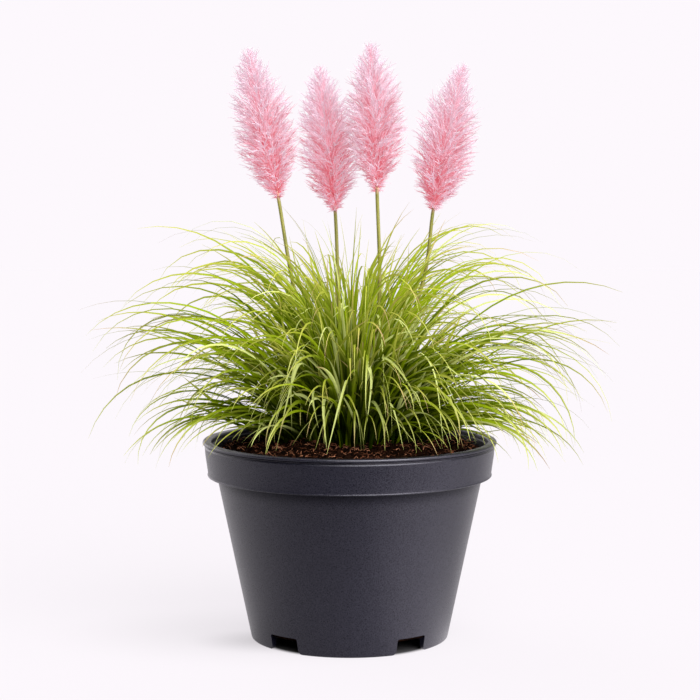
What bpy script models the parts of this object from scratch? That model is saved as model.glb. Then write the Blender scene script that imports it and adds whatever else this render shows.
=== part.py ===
"""Potted pampas grass: a dwarf pink pampas clump in a round nursery pot.

Metres, +Z up. The origin is on the ground under the middle of the pot, and
the front of the plant faces -Y. The pot, the soil, every flower stem, every
plume and every leaf shoot is a solid of its own.
"""
import math

import bmesh
import bpy
from mathutils import Vector

GAP = 0.0003            # clearance between pieces that touch

# Pot: a squat nursery container with a folded-over rim and a notched foot
POT_HEIGHT = 0.203
LIP_RADIUS = 0.150      # the 300 mm rim
BAND_TOP_RADIUS = 0.148
BAND_BOTTOM_RADIUS = 0.1447
BAND_BOTTOM_Z = 0.167   # lower edge of the folded-over band
BAND_GAP_TOP_Z = 0.1945 # where the band folds off the wall, inside
LIP_HEIGHT = 0.0050     # the bead that stands out above the band
LIP_WIDTH = 0.0090
LEDGE_DEPTH = 0.0062    # the step inside the rim, below its top
LEDGE_WIDTH = 0.0015
FOOT_RADIUS = 0.1008    # outside of the wall, carried down to the ground
WALL_SLOPE = 0.2085     # growth of the wall's radius with height
WALL = 0.0025
FOOT_RIM = 0.0024       # width of the flat ring that it stands on
FOOT_ROUND = 0.0016     # the wall's rounding into that ring
FLOOR_Z = 0.0135        # top of the floor that carries the soil
FLOOR_THICKNESS = 0.003
POT_SIDES = 60
NOTCH_ANGLES = (-39.5, 36.5, 108.5, 178.5, 249.5)   # degrees from the front
NOTCH_WIDTH = 0.034
NOTCH_HEIGHT = 0.0165
NOTCH_CORNER = 0.004

# Soil: a coir mound that is highest at the crown of the plant
SOIL_TOP = 0.205
SOIL_FALL = 0.017       # how much lower it lies at the wall
SOIL_LUMP = 0.0022
SOIL_SIDES = 36
SOIL_RINGS = (0.18, 0.40, 0.60, 0.80, 1.0)

# Shoots: each has a short three-sided sheath, planted in the soil, and three
# leaves. Angles are in degrees, measured up from the horizontal. "Side" holds
# for shoots that lean left or right and "front" for those that lean to the
# front or the back, where the clump is narrower.
PLANT_DEPTH = 0.010
POCKET_ABOVE = 0.012    # how far a planting hole's cutter stands out of the soil
SHEATH_HEIGHT = 0.016
SHEATH_RADIUS = 0.0031
SHEATH_STEEPER = 3.0    # a sheath stands steeper than its leaves by this
SHEATH_STEEPEST = 88.0
MIDDLE_LEAF_STEEPER = 5.0
LEAF_WIDTH = 0.0054
LEAF_BASE = 0.82        # share of that width at the sheath
LEAF_SWELL = 0.36       # growth in width along the leaf
LEAF_TAPER = 2.2        # above 1, it keeps its width longer before the point
LEAF_KEEL = 0.0011
BEND_POWER = 1.3        # above 1, a leaf bends most towards its tip
TIERS = {
    "low": dict(count=18, phase=4.0, root=0.060, segments=6, spread=9.0,
                lean=(34.0, 56.0), tip=(-66.0, -42.0), length=(0.172, 0.118)),
    "middle": dict(count=14, phase=0.0, root=0.041, segments=6, spread=9.5,
                   lean=(53.0, 66.0), tip=(-47.0, -36.0), length=(0.265, 0.190)),
    "high": dict(count=10, phase=9.0, root=0.025, segments=6, spread=12.5,
                 lean=(68.0, 72.0), tip=(6.0, 8.0), length=(0.262, 0.222)),
    "top": dict(count=4, phase=62.0, root=0.0075, segments=5, spread=26.0,
                lean=(84.0, 84.0), tip=(66.0, 66.0), length=(0.222, 0.215)),
}
UNEVEN_LEAN = 2.5       # every other shoot stands up more by this
UNEVEN_LENGTH = 0.06    # and is longer by this share

# Flowers: root, middle of the stem, neck, middle of the plume, tip
FLOWERS = (
    ((-0.0160, 0.0020, 0.200), (-0.0540, 0.0000, 0.345), (-0.0725, 0.0000, 0.4505),
     (-0.0860, 0.0000, 0.522), (-0.1003, 0.0000, 0.597)),
    ((-0.0070, 0.0140, 0.200), (-0.0115, 0.0220, 0.345), (-0.0150, 0.0250, 0.4370),
     (-0.0225, 0.0250, 0.508), (-0.0310, 0.0250, 0.583)),
    ((0.0090, -0.0150, 0.200), (0.0290, -0.0230, 0.332), (0.0273, -0.0250, 0.4576),
     (0.0252, -0.0250, 0.528), (0.0200, -0.0250, 0.602)),
    ((0.0170, 0.0030, 0.200), (0.0715, 0.0050, 0.352), (0.0851, 0.0050, 0.4384),
     (0.0975, 0.0050, 0.506), (0.1145, 0.0050, 0.584)),
)
STEM_RADIUS = 0.0024
STEM_SIDES = 8
STEM_STEPS = 7
PLUME_SIDES = 8
PLUME_NECK = 0.0030
# Share of the way up the plume, and the radius of its valleys between locks
PLUME_FORM = ((0.05, 0.009), (0.14, 0.018), (0.27, 0.0235), (0.41, 0.0245), (0.55, 0.0235),
              (0.69, 0.0195), (0.82, 0.0130), (0.93, 0.0060))
LOCK_REACH = 1.36       # how far a lock's tip stands out, as a share of the radius
LOCK_UNEVEN = 0.09      # and how much that differs from lock to lock
LOCK_RISE = 0.011       # how far a lock's tip rises above its middle


def clear_scene():
    for thing in list(bpy.data.objects):
        bpy.data.objects.remove(thing, do_unlink=True)


def material(name, colour, roughness):
    mat = bpy.data.materials.new(name)
    mat.use_nodes = True
    shader = mat.node_tree.nodes["Principled BSDF"]
    shader.inputs["Base Color"].default_value = (*colour, 1.0)
    shader.inputs["Roughness"].default_value = roughness
    shader.inputs["Metallic"].default_value = 0.0
    return mat


def add_object(name, mesh_data, mat):
    """Turns a bmesh into a named object with its faces pointing out."""
    bmesh.ops.recalc_face_normals(mesh_data, faces=mesh_data.faces[:])
    mesh = bpy.data.meshes.new(name)
    mesh_data.to_mesh(mesh)
    mesh_data.free()
    piece = bpy.data.objects.new(name, mesh)
    bpy.context.scene.collection.objects.link(piece)
    if mat is not None:
        mesh.materials.append(mat)
    return piece


def smooth(piece, angle):
    piece.data.shade_smooth()
    piece.data.set_sharp_from_angle(angle=math.radians(angle))


def cut(piece, cutter):
    """Boolean difference; the cutter stays as a guide that isn't rendered."""
    cutter.display_type = "WIRE"
    cutter.hide_render = True
    change = piece.modifiers.new("cut_" + cutter.name, "BOOLEAN")
    change.operation = "DIFFERENCE"
    change.solver = "EXACT"
    change.object = cutter


def bridge(mesh_data, lower, upper, lean=0):
    """Joins two rings that have the same number of vertices. Where the upper
    ring is turned, lean is 1 or -1 and picks the diagonals that follow it."""
    count = len(lower)
    for i in range(count):
        j = (i + 1) % count
        if lean > 0:
            mesh_data.faces.new((lower[i], lower[j], upper[i]))
            mesh_data.faces.new((lower[j], upper[j], upper[i]))
        elif lean < 0:
            mesh_data.faces.new((lower[i], lower[j], upper[j]))
            mesh_data.faces.new((lower[i], upper[j], upper[i]))
        else:
            mesh_data.faces.new((lower[i], lower[j], upper[j], upper[i]))


def blend(pair, side_share):
    """A value between its side and its front figure."""
    return pair[0] * side_share + pair[1] * (1.0 - side_share)


def wall_radius(z):
    return FOOT_RADIUS + WALL_SLOPE * z


def pot_profile():
    """Radius and height round the wall's section, from axis to axis."""
    under_floor = FLOOR_Z - FLOOR_THICKNESS
    foot_outer = FOOT_RADIUS - FOOT_ROUND
    foot_inner = foot_outer - FOOT_RIM
    lip_z = POT_HEIGHT - LIP_HEIGHT
    ledge_z = POT_HEIGHT - LEDGE_DEPTH
    return (
        (0.0, under_floor),
        (foot_inner - 0.0010, under_floor),
        (foot_inner, 0.0),
        (foot_outer, 0.0),
        (wall_radius(2 * FOOT_ROUND), 2 * FOOT_ROUND),
        (wall_radius(BAND_GAP_TOP_Z), BAND_GAP_TOP_Z),
        (BAND_TOP_RADIUS - WALL, BAND_GAP_TOP_Z),
        (BAND_BOTTOM_RADIUS - WALL, BAND_BOTTOM_Z),
        (BAND_BOTTOM_RADIUS, BAND_BOTTOM_Z),
        (BAND_TOP_RADIUS, lip_z - 0.0008),
        (LIP_RADIUS - 0.0003, lip_z),
        (LIP_RADIUS, POT_HEIGHT - 0.0022),
        (LIP_RADIUS - 0.0018, POT_HEIGHT),
        (LIP_RADIUS - LIP_WIDTH + 0.0010, POT_HEIGHT - 0.0004),
        (LIP_RADIUS - LIP_WIDTH, lip_z),
        (wall_radius(POT_HEIGHT) - WALL - LEDGE_WIDTH, ledge_z),
        (wall_radius(FLOOR_Z) - WALL, FLOOR_Z),
        (0.0, FLOOR_Z),
    )


def turned_ring(mesh_data, radius, z, sides):
    if radius == 0.0:
        return [mesh_data.verts.new((0.0, 0.0, z))]
    ring = []
    for i in range(sides):
        turn = math.tau * i / sides
        ring.append(mesh_data.verts.new((radius * math.cos(turn), radius * math.sin(turn), z)))
    return ring


def turn(profile, sides):
    """A solid of revolution whose profile starts and ends on the axis."""
    mesh_data = bmesh.new()
    rings = [turned_ring(mesh_data, radius, z, sides) for radius, z in profile]
    for lower, upper in zip(rings, rings[1:]):
        if len(lower) == 1 or len(upper) == 1:
            centre, ring = (lower, upper) if len(lower) == 1 else (upper, lower)
            for i in range(sides):
                mesh_data.faces.new((centre[0], ring[i], ring[(i + 1) % sides]))
        else:
            bridge(mesh_data, lower, upper)
    return mesh_data


def notch_cutter():
    """Five drain notches: each a radial bar with a wider, chamfered mouth."""
    half = NOTCH_WIDTH / 2
    outline = ((-half - NOTCH_CORNER, -0.004), (half + NOTCH_CORNER, -0.004),
               (half + NOTCH_CORNER, 0.0), (half, NOTCH_CORNER), (half, NOTCH_HEIGHT),
               (-half, NOTCH_HEIGHT), (-half, NOTCH_CORNER), (-half - NOTCH_CORNER, 0.0))
    inner = FOOT_RADIUS - 0.012
    outer = FOOT_RADIUS + 0.012
    mesh_data = bmesh.new()
    for angle in NOTCH_ANGLES:
        aim = math.radians(angle)
        out = Vector((math.sin(aim), -math.cos(aim), 0.0))
        across = Vector((math.cos(aim), math.sin(aim), 0.0))
        ends = []
        for reach in (inner, outer):
            ends.append([mesh_data.verts.new(out * reach + across * x + Vector((0.0, 0.0, z)))
                         for x, z in outline])
        bridge(mesh_data, ends[0], ends[1])
        mesh_data.faces.new(ends[0])
        mesh_data.faces.new(ends[1])
    return add_object("notch_cutter", mesh_data, None)


def make_pot():
    plastic = material("pot_plastic", (0.030, 0.029, 0.036), 0.52)
    pot = add_object("pot", turn(pot_profile(), POT_SIDES), plastic)
    cut(pot, notch_cutter())
    smooth(pot, 28)
    return pot


def soil_height(x, y):
    share = math.hypot(x, y) / wall_radius(SOIL_TOP)
    lump = math.sin(61.0 * x + 1.3) * math.cos(53.0 * y - 0.4) + 0.6 * math.sin(97.0 * (x - y))
    return SOIL_TOP - SOIL_FALL * share ** 2 + SOIL_LUMP * lump * min(1.0, 2.0 * share)


def soil_radius(z):
    return wall_radius(z) - WALL - GAP


def sheath_triangle(centre, axis, azimuth, radius):
    """Three corners square to the sheath, the first one pointing outward."""
    out = Vector((math.cos(azimuth), math.sin(azimuth), 0.0))
    across = axis.cross(out).normalized()
    out = across.cross(axis).normalized()
    corners = []
    for k in range(3):
        turn_by = math.tau * k / 3
        corners.append(centre + (out * math.cos(turn_by) + across * math.sin(turn_by)) * radius)
    return corners


def root_point(x, y):
    return Vector((x, y, soil_height(x, y)))


def direction(azimuth, lean):
    flat = math.cos(lean)
    return Vector((flat * math.cos(azimuth), flat * math.sin(azimuth), math.sin(lean)))


def pocket_cutter(shoots):
    """The planting holes of all shoots and stems, as one cutter."""
    mesh_data = bmesh.new()
    for shoot in shoots:
        axis = direction(shoot["azimuth"], shoot["sheath_lean"])
        low = shoot["root"] - axis * (PLANT_DEPTH + GAP)
        high = shoot["root"] + axis * POCKET_ABOVE
        rings = []
        for centre in (low, high):
            corners = sheath_triangle(centre, axis, shoot["azimuth"], SHEATH_RADIUS + 2 * GAP)
            rings.append([mesh_data.verts.new(corner) for corner in corners])
        bridge(mesh_data, rings[0], rings[1])
        mesh_data.faces.new(rings[0])
        mesh_data.faces.new(rings[1])
    for flower in FLOWERS:
        path = stem_path(flower)
        start, heading = path[0], (path[1] - path[0]).normalized()
        ends = (start - heading * GAP, start + heading * (PLANT_DEPTH + POCKET_ABOVE))
        rings = [round_ring(mesh_data, end, heading, STEM_RADIUS + 1.2 * GAP, STEM_SIDES, 0.0)
                 for end in ends]
        bridge(mesh_data, rings[0], rings[1])
        mesh_data.faces.new(rings[0])
        mesh_data.faces.new(rings[1])
    return add_object("pocket_cutter", mesh_data, None)


def make_soil(shoots):
    """A plug that fills the pot from its floor to an uneven domed top."""
    coir = material("coir_soil", (0.030, 0.016, 0.009), 0.95)
    mesh_data = bmesh.new()
    bottom = FLOOR_Z + GAP
    edge_z = soil_height(wall_radius(SOIL_TOP), 0.0)
    top_radius = soil_radius(edge_z) - 0.0012
    rings = []
    for share in (0.0,) + SOIL_RINGS:
        ring = turned_ring(mesh_data, share * top_radius, 0.0, SOIL_SIDES)
        for vert in ring:
            vert.co.z = soil_height(vert.co.x, vert.co.y)
        rings.append(ring)
    rings.append(turned_ring(mesh_data, soil_radius(bottom), bottom, SOIL_SIDES))
    for i in range(SOIL_SIDES):
        mesh_data.faces.new((rings[0][0], rings[1][i], rings[1][(i + 1) % SOIL_SIDES]))
    for lower, upper in zip(rings[1:], rings[2:]):
        bridge(mesh_data, lower, upper)
    mesh_data.faces.new(rings[-1])
    soil = add_object("soil", mesh_data, coir)
    cut(soil, pocket_cutter(shoots))
    smooth(soil, 40)
    return soil


def shoots_of(tier):
    """Place and bend of every shoot in a tier, evenly set round the crown."""
    shoots = []
    for i in range(tier["count"]):
        azimuth = math.radians(tier["phase"] + 360.0 * i / tier["count"])
        side_share = math.cos(azimuth) ** 2
        taller = i % (tier["count"] // 2) % 2    # the same on opposite sides
        lean = blend(tier["lean"], side_share) + UNEVEN_LEAN * taller
        root = root_point(tier["root"] * math.cos(azimuth), tier["root"] * math.sin(azimuth))
        shoots.append(dict(
            root=root, azimuth=azimuth, lean=math.radians(lean),
            sheath_lean=math.radians(min(lean + SHEATH_STEEPER, SHEATH_STEEPEST)),
            tip=math.radians(blend(tier["tip"], side_share)),
            length=blend(tier["length"], side_share) * (1.0 + UNEVEN_LENGTH * taller),
            spread=math.radians(tier["spread"]), segments=tier["segments"]))
    return shoots


def leaf_path(start, azimuth, lean, tip, length, segments):
    """Points along a leaf that leaves at one slope and ends at another."""
    points = [start]
    for i in range(segments):
        share = (i + 0.5) / segments
        slope = lean + (tip - lean) * share ** BEND_POWER
        points.append(points[-1] + direction(azimuth, slope) * (length / segments))
    return points


def leaf_width(share):
    """Swells a little from the sheath, then is drawn out to a fine point."""
    return LEAF_WIDTH * (LEAF_BASE + LEAF_SWELL * share) * (1.0 - share ** LEAF_TAPER)


def grow_leaf(mesh_data, base, start, azimuth, leaf, keel_side, side):
    """Runs a three-cornered leaf out of the sheath's triangle, to a point.

    base holds the left edge, the right edge and the keel at the sheath. side
    is 1 for the left leaf, -1 for the right one and 0 for the middle one.
    """
    points = leaf_path(start, azimuth, leaf["lean"], leaf["tip"], leaf["length"],
                       leaf["segments"])
    across = Vector((-math.sin(azimuth), math.cos(azimuth), 0.0))
    ring = base
    for i in range(1, leaf["segments"]):
        heading = (points[i + 1] - points[i - 1]).normalized()
        lift = heading.cross(across).normalized()
        if lift.z < 0.0:
            lift.negate()
        width = leaf_width(i / leaf["segments"])
        keel = LEAF_KEEL * keel_side * (0.4 + 0.6 * width / LEAF_WIDTH)
        corners = (points[i] + across * width / 2, points[i] - across * width / 2,
                   points[i] + lift * keel)
        new_ring = [mesh_data.verts.new(corner) for corner in corners]
        bridge(mesh_data, ring, new_ring, side if i == 1 else 0)
        ring = new_ring
    tip = mesh_data.verts.new(points[-1])
    for i in range(3):
        mesh_data.faces.new((ring[i], ring[(i + 1) % 3], tip))


def make_tuft(name, shoot, green):
    """One shoot: a planted sheath that parts into three leaves."""
    axis = direction(shoot["azimuth"], shoot["sheath_lean"])
    azimuth = shoot["azimuth"]
    mesh_data = bmesh.new()
    foot = sheath_triangle(shoot["root"] - axis * PLANT_DEPTH, axis, azimuth, SHEATH_RADIUS)
    head = sheath_triangle(shoot["root"] + axis * SHEATH_HEIGHT, axis, azimuth, SHEATH_RADIUS)
    lower = [mesh_data.verts.new(corner) for corner in foot]
    front, left, right = [mesh_data.verts.new(corner) for corner in head]
    centre = mesh_data.verts.new(shoot["root"] + axis * SHEATH_HEIGHT)
    mesh_data.faces.new(lower)
    bridge(mesh_data, lower, (front, left, right))
    leaves = (((left, front, centre), azimuth + shoot["spread"], 0.0, 1.0, 1, 0.97),
              ((front, right, centre), azimuth - shoot["spread"], 0.0, 1.0, -1, 0.93),
              ((left, right, centre), azimuth, MIDDLE_LEAF_STEEPER, -1.0, 0, 1.0))
    for base, aim, steeper, keel_side, side, size in leaves:
        start = sum((vert.co for vert in base), Vector()) / 3
        leaf = dict(shoot, lean=shoot["lean"] + math.radians(steeper),
                    length=shoot["length"] * size)
        grow_leaf(mesh_data, base, start, aim, leaf, keel_side, side)
    return add_object(name, mesh_data, green)


def smooth_curve(knots, steps):
    """Points on a curve that passes through every knot."""
    ends = [knots[0] * 2 - knots[1]] + knots + [knots[-1] * 2 - knots[-2]]
    points = []
    for k in range(1, len(knots)):
        before, start, end, after = ends[k - 1:k + 3]
        for i in range(steps):
            t = i / steps
            points.append(0.5 * (2 * start + (end - before) * t
                                 + (2 * before - 5 * start + 4 * end - after) * t ** 2
                                 + (3 * start - before - 3 * end + after) * t ** 3))
    points.append(knots[-1])
    return points


def flower_curve(flower, first, last):
    """The part of a flower's centre line between two of its five knots."""
    steps = 24
    points = smooth_curve([Vector(knot) for knot in flower], steps)
    return points[first * steps:last * steps + 1]


def pick(points, share):
    """The point a given share of the way through a fine list of points."""
    place = share * (len(points) - 1)
    low = min(int(place), len(points) - 2)
    return points[low].lerp(points[low + 1], place - low)


def stem_path(flower):
    """From the bottom of the planting hole up to the neck of the plume."""
    line = flower_curve(flower, 0, 2)
    root = root_point(line[0].x, line[0].y)
    heading = (line[4] - line[0]).normalized()
    path = [root - heading * PLANT_DEPTH]
    path += [pick(line, (i + 1) / STEM_STEPS) for i in range(STEM_STEPS)]
    return path


def round_ring(mesh_data, centre, heading, radius, sides, turn_by):
    side = heading.cross(Vector((0.0, 1.0, 0.0))).normalized()
    front = heading.cross(side)
    ring = []
    for i in range(sides):
        angle = math.tau * i / sides + turn_by
        ring.append(mesh_data.verts.new(
            centre + (side * math.cos(angle) + front * math.sin(angle)) * radius))
    return ring


def make_stem(name, flower, green):
    path = stem_path(flower)
    mesh_data = bmesh.new()
    rings = []
    for i, point in enumerate(path):
        heading = (path[min(i + 1, len(path) - 1)] - path[max(i - 1, 0)]).normalized()
        radius = STEM_RADIUS * (1.0 - 0.15 * i / (len(path) - 1))
        rings.append(round_ring(mesh_data, point, heading, radius, STEM_SIDES, 0.0))
    for lower, upper in zip(rings, rings[1:]):
        bridge(mesh_data, lower, upper)
    mesh_data.faces.new(rings[0])
    mesh_data.faces.new(rings[-1])
    stem = add_object(name, mesh_data, green)
    smooth(stem, 60)
    return stem


def make_plume(name, flower, pink):
    """A spindle of locks: every facet between two rings is drawn out to a
    point that stands away from the middle and rises towards the tip."""
    line = flower_curve(flower, 2, 4)
    base_heading = (line[1] - line[0]).normalized()
    mesh_data = bmesh.new()
    rings = [round_ring(mesh_data, line[0] + base_heading * GAP, base_heading, PLUME_NECK,
                        PLUME_SIDES, 0.0)]
    mesh_data.faces.new(rings[0])
    for i, (share, radius) in enumerate(PLUME_FORM):
        centre = pick(line, share)
        heading = (pick(line, min(share + 0.05, 1.0)) - pick(line, share - 0.05)).normalized()
        twist = math.pi / PLUME_SIDES * (i % 2)
        rings.append(round_ring(mesh_data, centre, heading, radius, PLUME_SIDES, twist))
    tip = mesh_data.verts.new(line[-1])
    for lower, upper in zip(rings, rings[1:]):
        bridge(mesh_data, lower, upper)
    for i in range(PLUME_SIDES):
        mesh_data.faces.new((rings[-1][i], rings[-1][(i + 1) % PLUME_SIDES], tip))
    draw_out_locks(mesh_data, line, [face for face in mesh_data.faces if len(face.verts) == 4])
    return add_object(name, mesh_data, pink)


def draw_out_locks(mesh_data, line, facets):
    up = (line[-1] - line[0]).normalized()
    height = (line[-1] - line[0]).length
    poked = bmesh.ops.poke(mesh_data, faces=facets)
    for i, vert in enumerate(poked["verts"]):
        share = min(max((vert.co - line[0]).dot(up) / height, 0.0), 1.0)
        middle = pick(line, share)
        away = vert.co - middle
        away -= up * away.dot(up)
        reach = LOCK_REACH + LOCK_UNEVEN * math.sin(2.4 * i)
        vert.co = middle + away * reach + up * LOCK_RISE * min(1.0, away.length / 0.015)


def main():
    clear_scene()
    leaf_green = material("leaf_green", (0.220, 0.290, 0.035), 0.50)
    stem_green = material("stem_green", (0.250, 0.260, 0.065), 0.45)
    plume_pink = material("plume_pink", (0.780, 0.330, 0.420), 0.80)
    shoots = [shoot for tier in TIERS.values() for shoot in shoots_of(tier)]
    make_pot()
    make_soil(shoots)
    for number, flower in enumerate(FLOWERS, 1):
        make_stem(f"stem_{number}", flower, stem_green)
        make_plume(f"plume_{number}", flower, plume_pink)
    for number, shoot in enumerate(shoots, 1):
        make_tuft(f"leaf_tuft_{number:02d}", shoot, leaf_green)


main()
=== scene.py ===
"""Looks of a potted pink pampas grass, drawn over its CAD pieces.

Metres, +Z up, front towards -Y. Leaves, plume hairs and soil fibres are grown
by Geometry Nodes from points that carry their own bend, length and tone, and
are then kept as plain meshes.
"""
import math

import bmesh
import bpy
import numpy as np
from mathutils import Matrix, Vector


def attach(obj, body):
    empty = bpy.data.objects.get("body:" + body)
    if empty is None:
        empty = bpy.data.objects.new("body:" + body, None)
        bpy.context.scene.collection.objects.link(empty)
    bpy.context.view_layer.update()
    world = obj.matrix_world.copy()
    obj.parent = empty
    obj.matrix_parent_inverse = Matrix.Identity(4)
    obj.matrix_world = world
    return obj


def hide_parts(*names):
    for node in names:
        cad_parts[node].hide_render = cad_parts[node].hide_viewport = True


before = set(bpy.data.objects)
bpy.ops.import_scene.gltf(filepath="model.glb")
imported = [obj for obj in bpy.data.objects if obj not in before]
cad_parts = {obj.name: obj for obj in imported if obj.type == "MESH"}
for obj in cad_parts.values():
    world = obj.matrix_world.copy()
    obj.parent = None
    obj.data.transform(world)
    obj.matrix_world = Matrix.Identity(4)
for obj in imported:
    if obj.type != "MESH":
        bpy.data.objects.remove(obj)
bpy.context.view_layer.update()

# Camera, fitted to the pot's ellipses in the photograph
CAMERA_PLACE = (0.0, -1.920, 0.457)
CAMERA_TILT = 0.0846            # radians below the horizontal
CAMERA_LENS = 97.3              # mm, and so is the next
CAMERA_SENSOR = 36.0
CAMERA_SHIFT = 0.0005
CAMERA_FAR = 50.0

# Room and key light
BACKDROP = (0.982, 0.939, 0.982)
ROOM_FRONT = 0.14               # brightness of the room behind the camera
ROOM_BACK = 1.00                # and of its far side
ROOM_SIDES = (90.0, 160.0)      # degrees from the front between which it changes
ROOM_RIGHT = 4.50               # a bright wall to the right
ROOM_LEFT = 2.60                # and one to the left, further back
# Degrees from the front where a wall sets in, is full, starts to fade and ends
RIGHT_EDGES = (10.0, 44.0, 66.0, 112.0)
LEFT_EDGES = (80.0, 112.0, 150.0, 178.0)
SUN_POWER = 6.5
SUN_ANGLE = 56.0                # degrees across: a soft box, not a hard sun
SUN_TURN = (40.0, 26.0)         # degrees about X and Y

# Floor
FLOOR_REACH = 9.0               # half of its side
FLOOR_GLOW = 0.86               # share of its brightness that no cast shadow takes
# Soft shadows painted on it: centre, half axes and depth
SHADOWS = (((-0.080, 0.000), (0.260, 0.150), 0.09),
           ((-0.085, -0.030), (0.085, 0.060), 0.18))
UNDER_POT = (0.092, 0.102)      # radii between which it is painted dark, under the pot
# In reflections only
FLOOR_FADE = (-1.1, 0.0)        # it gets darker towards the camera, between these y
FLOOR_NEAR = 0.20               # how bright it stays there
FLOOR_RIGHT = 0.85              # how much it gains towards the right wall
FLOOR_DIP_TURN = -25.0          # degrees from the front round which it is dimmer
FLOOR_DIP_EDGES = (10.0, 55.0)  # how far from there it starts to recover and has done so
FLOOR_DIP_LEVEL = 0.76

# Pot
POT_HEIGHT = 0.203
LIP_RADIUS = 0.150
BAND_TOP_RADIUS = 0.148
BAND_BOTTOM_RADIUS = 0.1447
BAND_BOTTOM_Z = 0.167
BAND_GAP_TOP_Z = 0.1945         # top of the gap between the band and the wall
FOOT_RADIUS = 0.1008
FOOT_FLAT = 0.0024              # width of the ring that it stands on
WALL_SLOPE = 0.2085
WALL = 0.0025                   # thickness
POT_FLOOR_Z = 0.0135
POT_FLOOR_THICKNESS = 0.003
POT_SIDES = 288
# Radii of its round edges, from the foot up
FOOT_INNER_ROUND = 0.0006
FOOT_ROUND = 0.0016
GAP_ROUND = 0.0010
BAND_INNER_ROUND = 0.0007
BAND_BEAD = 0.0009              # along the band's lower edge
LIP_BEAD = 0.0004               # in the groove under the lip
LIP_ROLL = 0.0020
LEDGE_ROUND = 0.0012            # where the lip's top turns down inside
# Points of the rim's section between them, as radius and height, from the band up
BAND_FACE = ((0.1447, 0.1704), (0.1472, 0.1880), (0.1479, 0.1962))
GROOVE = ((0.1476, 0.1966), (0.1471, 0.1977))
LIP_BEAD_CENTRE = (0.1481, 0.1987)
GROOVE_TOP = (0.1472, 0.1997)
LIP_ROLL_Z = 0.2009
LIP_TOP = ((0.1440, 0.2028), (0.1424, 0.2026))
LEDGE = (0.1408, 0.1980)
LEDGE_INNER_Z = 0.1968
LEDGE_WIDTH = 0.0042            # from where the wall would meet the top
NOTCH_ANGLES = (-39.5, 36.5, 108.5, 178.5, 249.5)
NOTCH_WIDTH = 0.034
NOTCH_HEIGHT = 0.0165
NOTCH_CORNER = 0.0045           # radius at its feet
NOTCH_TOP_CORNER = 0.0020
NOTCH_BELOW = 0.004             # how far its cutter reaches below the ground
NOTCH_REACH = 0.012             # and to each side of the foot's radius
# Painted shade dims the wall's shine inside, above the soil, and outside, just
# under the band: the radii and heights between which that changes, and what is left of the shine
INSIDE_SHADE_RADII = (0.1418, 0.1426)
INSIDE_SHADE_LOW = (0.180, 0.184)
INSIDE_SHADE_HIGH = (0.2004, 0.2016)
INSIDE_SHADED_SHINE = 0.15
UNDER_BAND_SHADE = (0.151, 0.1665)
UNDER_BAND_SHADE_END = 0.1668         # height above which the shine is whole again
UNDER_BAND_SHADED_SHINE = 0.35

# Degrees between faces from which an edge stays sharp
POT_CREASE = 32.0
SOIL_CREASE = 50.0
BLADE_CREASE = 24.0
TUBE_CREASE = 60.0

# Soil
SOIL_TOP = 0.205
SOIL_FALL = 0.017               # from the crown to the wall
SOIL_LUMP = 0.0022
LUMP_WAVES = (61.0, 53.0, 97.0)     # radians per metre along x, y and their diagonal
# Length and height of the waves that roughen it, and how many there are of each
SOIL_WAVES = ((0.021, 0.0020), (0.013, 0.0017), (0.0085, 0.0012), (0.0058, 0.0008),
              (0.0042, 0.00055))
WAVES_OF_A_LENGTH = 5
WAVE_BEND = (1.5, 90.0)         # how far they wind, and how often, both in radians
WAVE_SHARE = 0.45               # of their height that counts
SOIL_RINGS = 84
SOIL_SIDES = 264
SOIL_EDGE_Z = 0.1885            # height at which it meets the wall
SOIL_GAPS = (0.0004, 0.0003)    # between it and the wall, at its edge and at its foot
SOIL_SEED = 41
FIBRES = 3700
CRUMBS = 600
LITTER_RADIUS = 0.1365
LITTER_EDGE = (0.1385, 0.014)   # fibres are cut short towards this radius, from so far off
FIBRE_SEGMENTS = 5
FIBRE_LENGTH = (0.004, 0.015)
FIBRE_WIDTH = (0.00026, 0.00066)
FIBRE_LEAN = (5.0, 60.0)        # degrees of slope where they start
FIBRE_TIP = (0.5, 1.1)          # how far down they turn, to that
FIBRE_SWAY = (0.0, 2.2)
FIBRE_WAVE = (0.1, 0.8)
LITTER_DEPTH = 0.0003
FIBRE_THINNING = 0.7            # share of its width that it loses up to the tip
CRUMB_SIZE = (0.0006, 0.0018)   # of the smallest, and what the largest have more
CRUMB_SHAPES = ((0.7, 0.7, 0.5), (1.5, 1.3, 0.9))       # limits by axis
CRUMB_TURNS = ((0.0, 0.0, 0.0), (6.28, 6.28, 6.28))
CRUMB_BUMPS = 1.9
UPWARDS = (0.0, 0.0, 1.0)

# Leaves
RIM_CLEAR = 0.2065              # lowest that a blade passes over the pot
RIM_MORE = 0.014                # how much higher it passes over the rim at the sides
RIM_RADII = (0.115, 0.160)      # what counts as over the rim: radii
SIDE_DROOP = 0.180              # lowest that its tip hangs beside the pot
SIDE_SHARES = (0.70, 0.90)      # x over radius from which it may hang lower, and all the way
LIMITS_FROM = 0.35              # share of a blade beyond which these heights hold
DOME = (0.277, 0.207)           # half width and half depth of the clump
LIFT_ROUNDS = 14                # tries to bring a blade inside these limits
LIFT_TURN = 7.0                 # degrees that its tip rises at each
LIFT_SHARE = 0.975              # share of its length that it keeps
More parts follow.
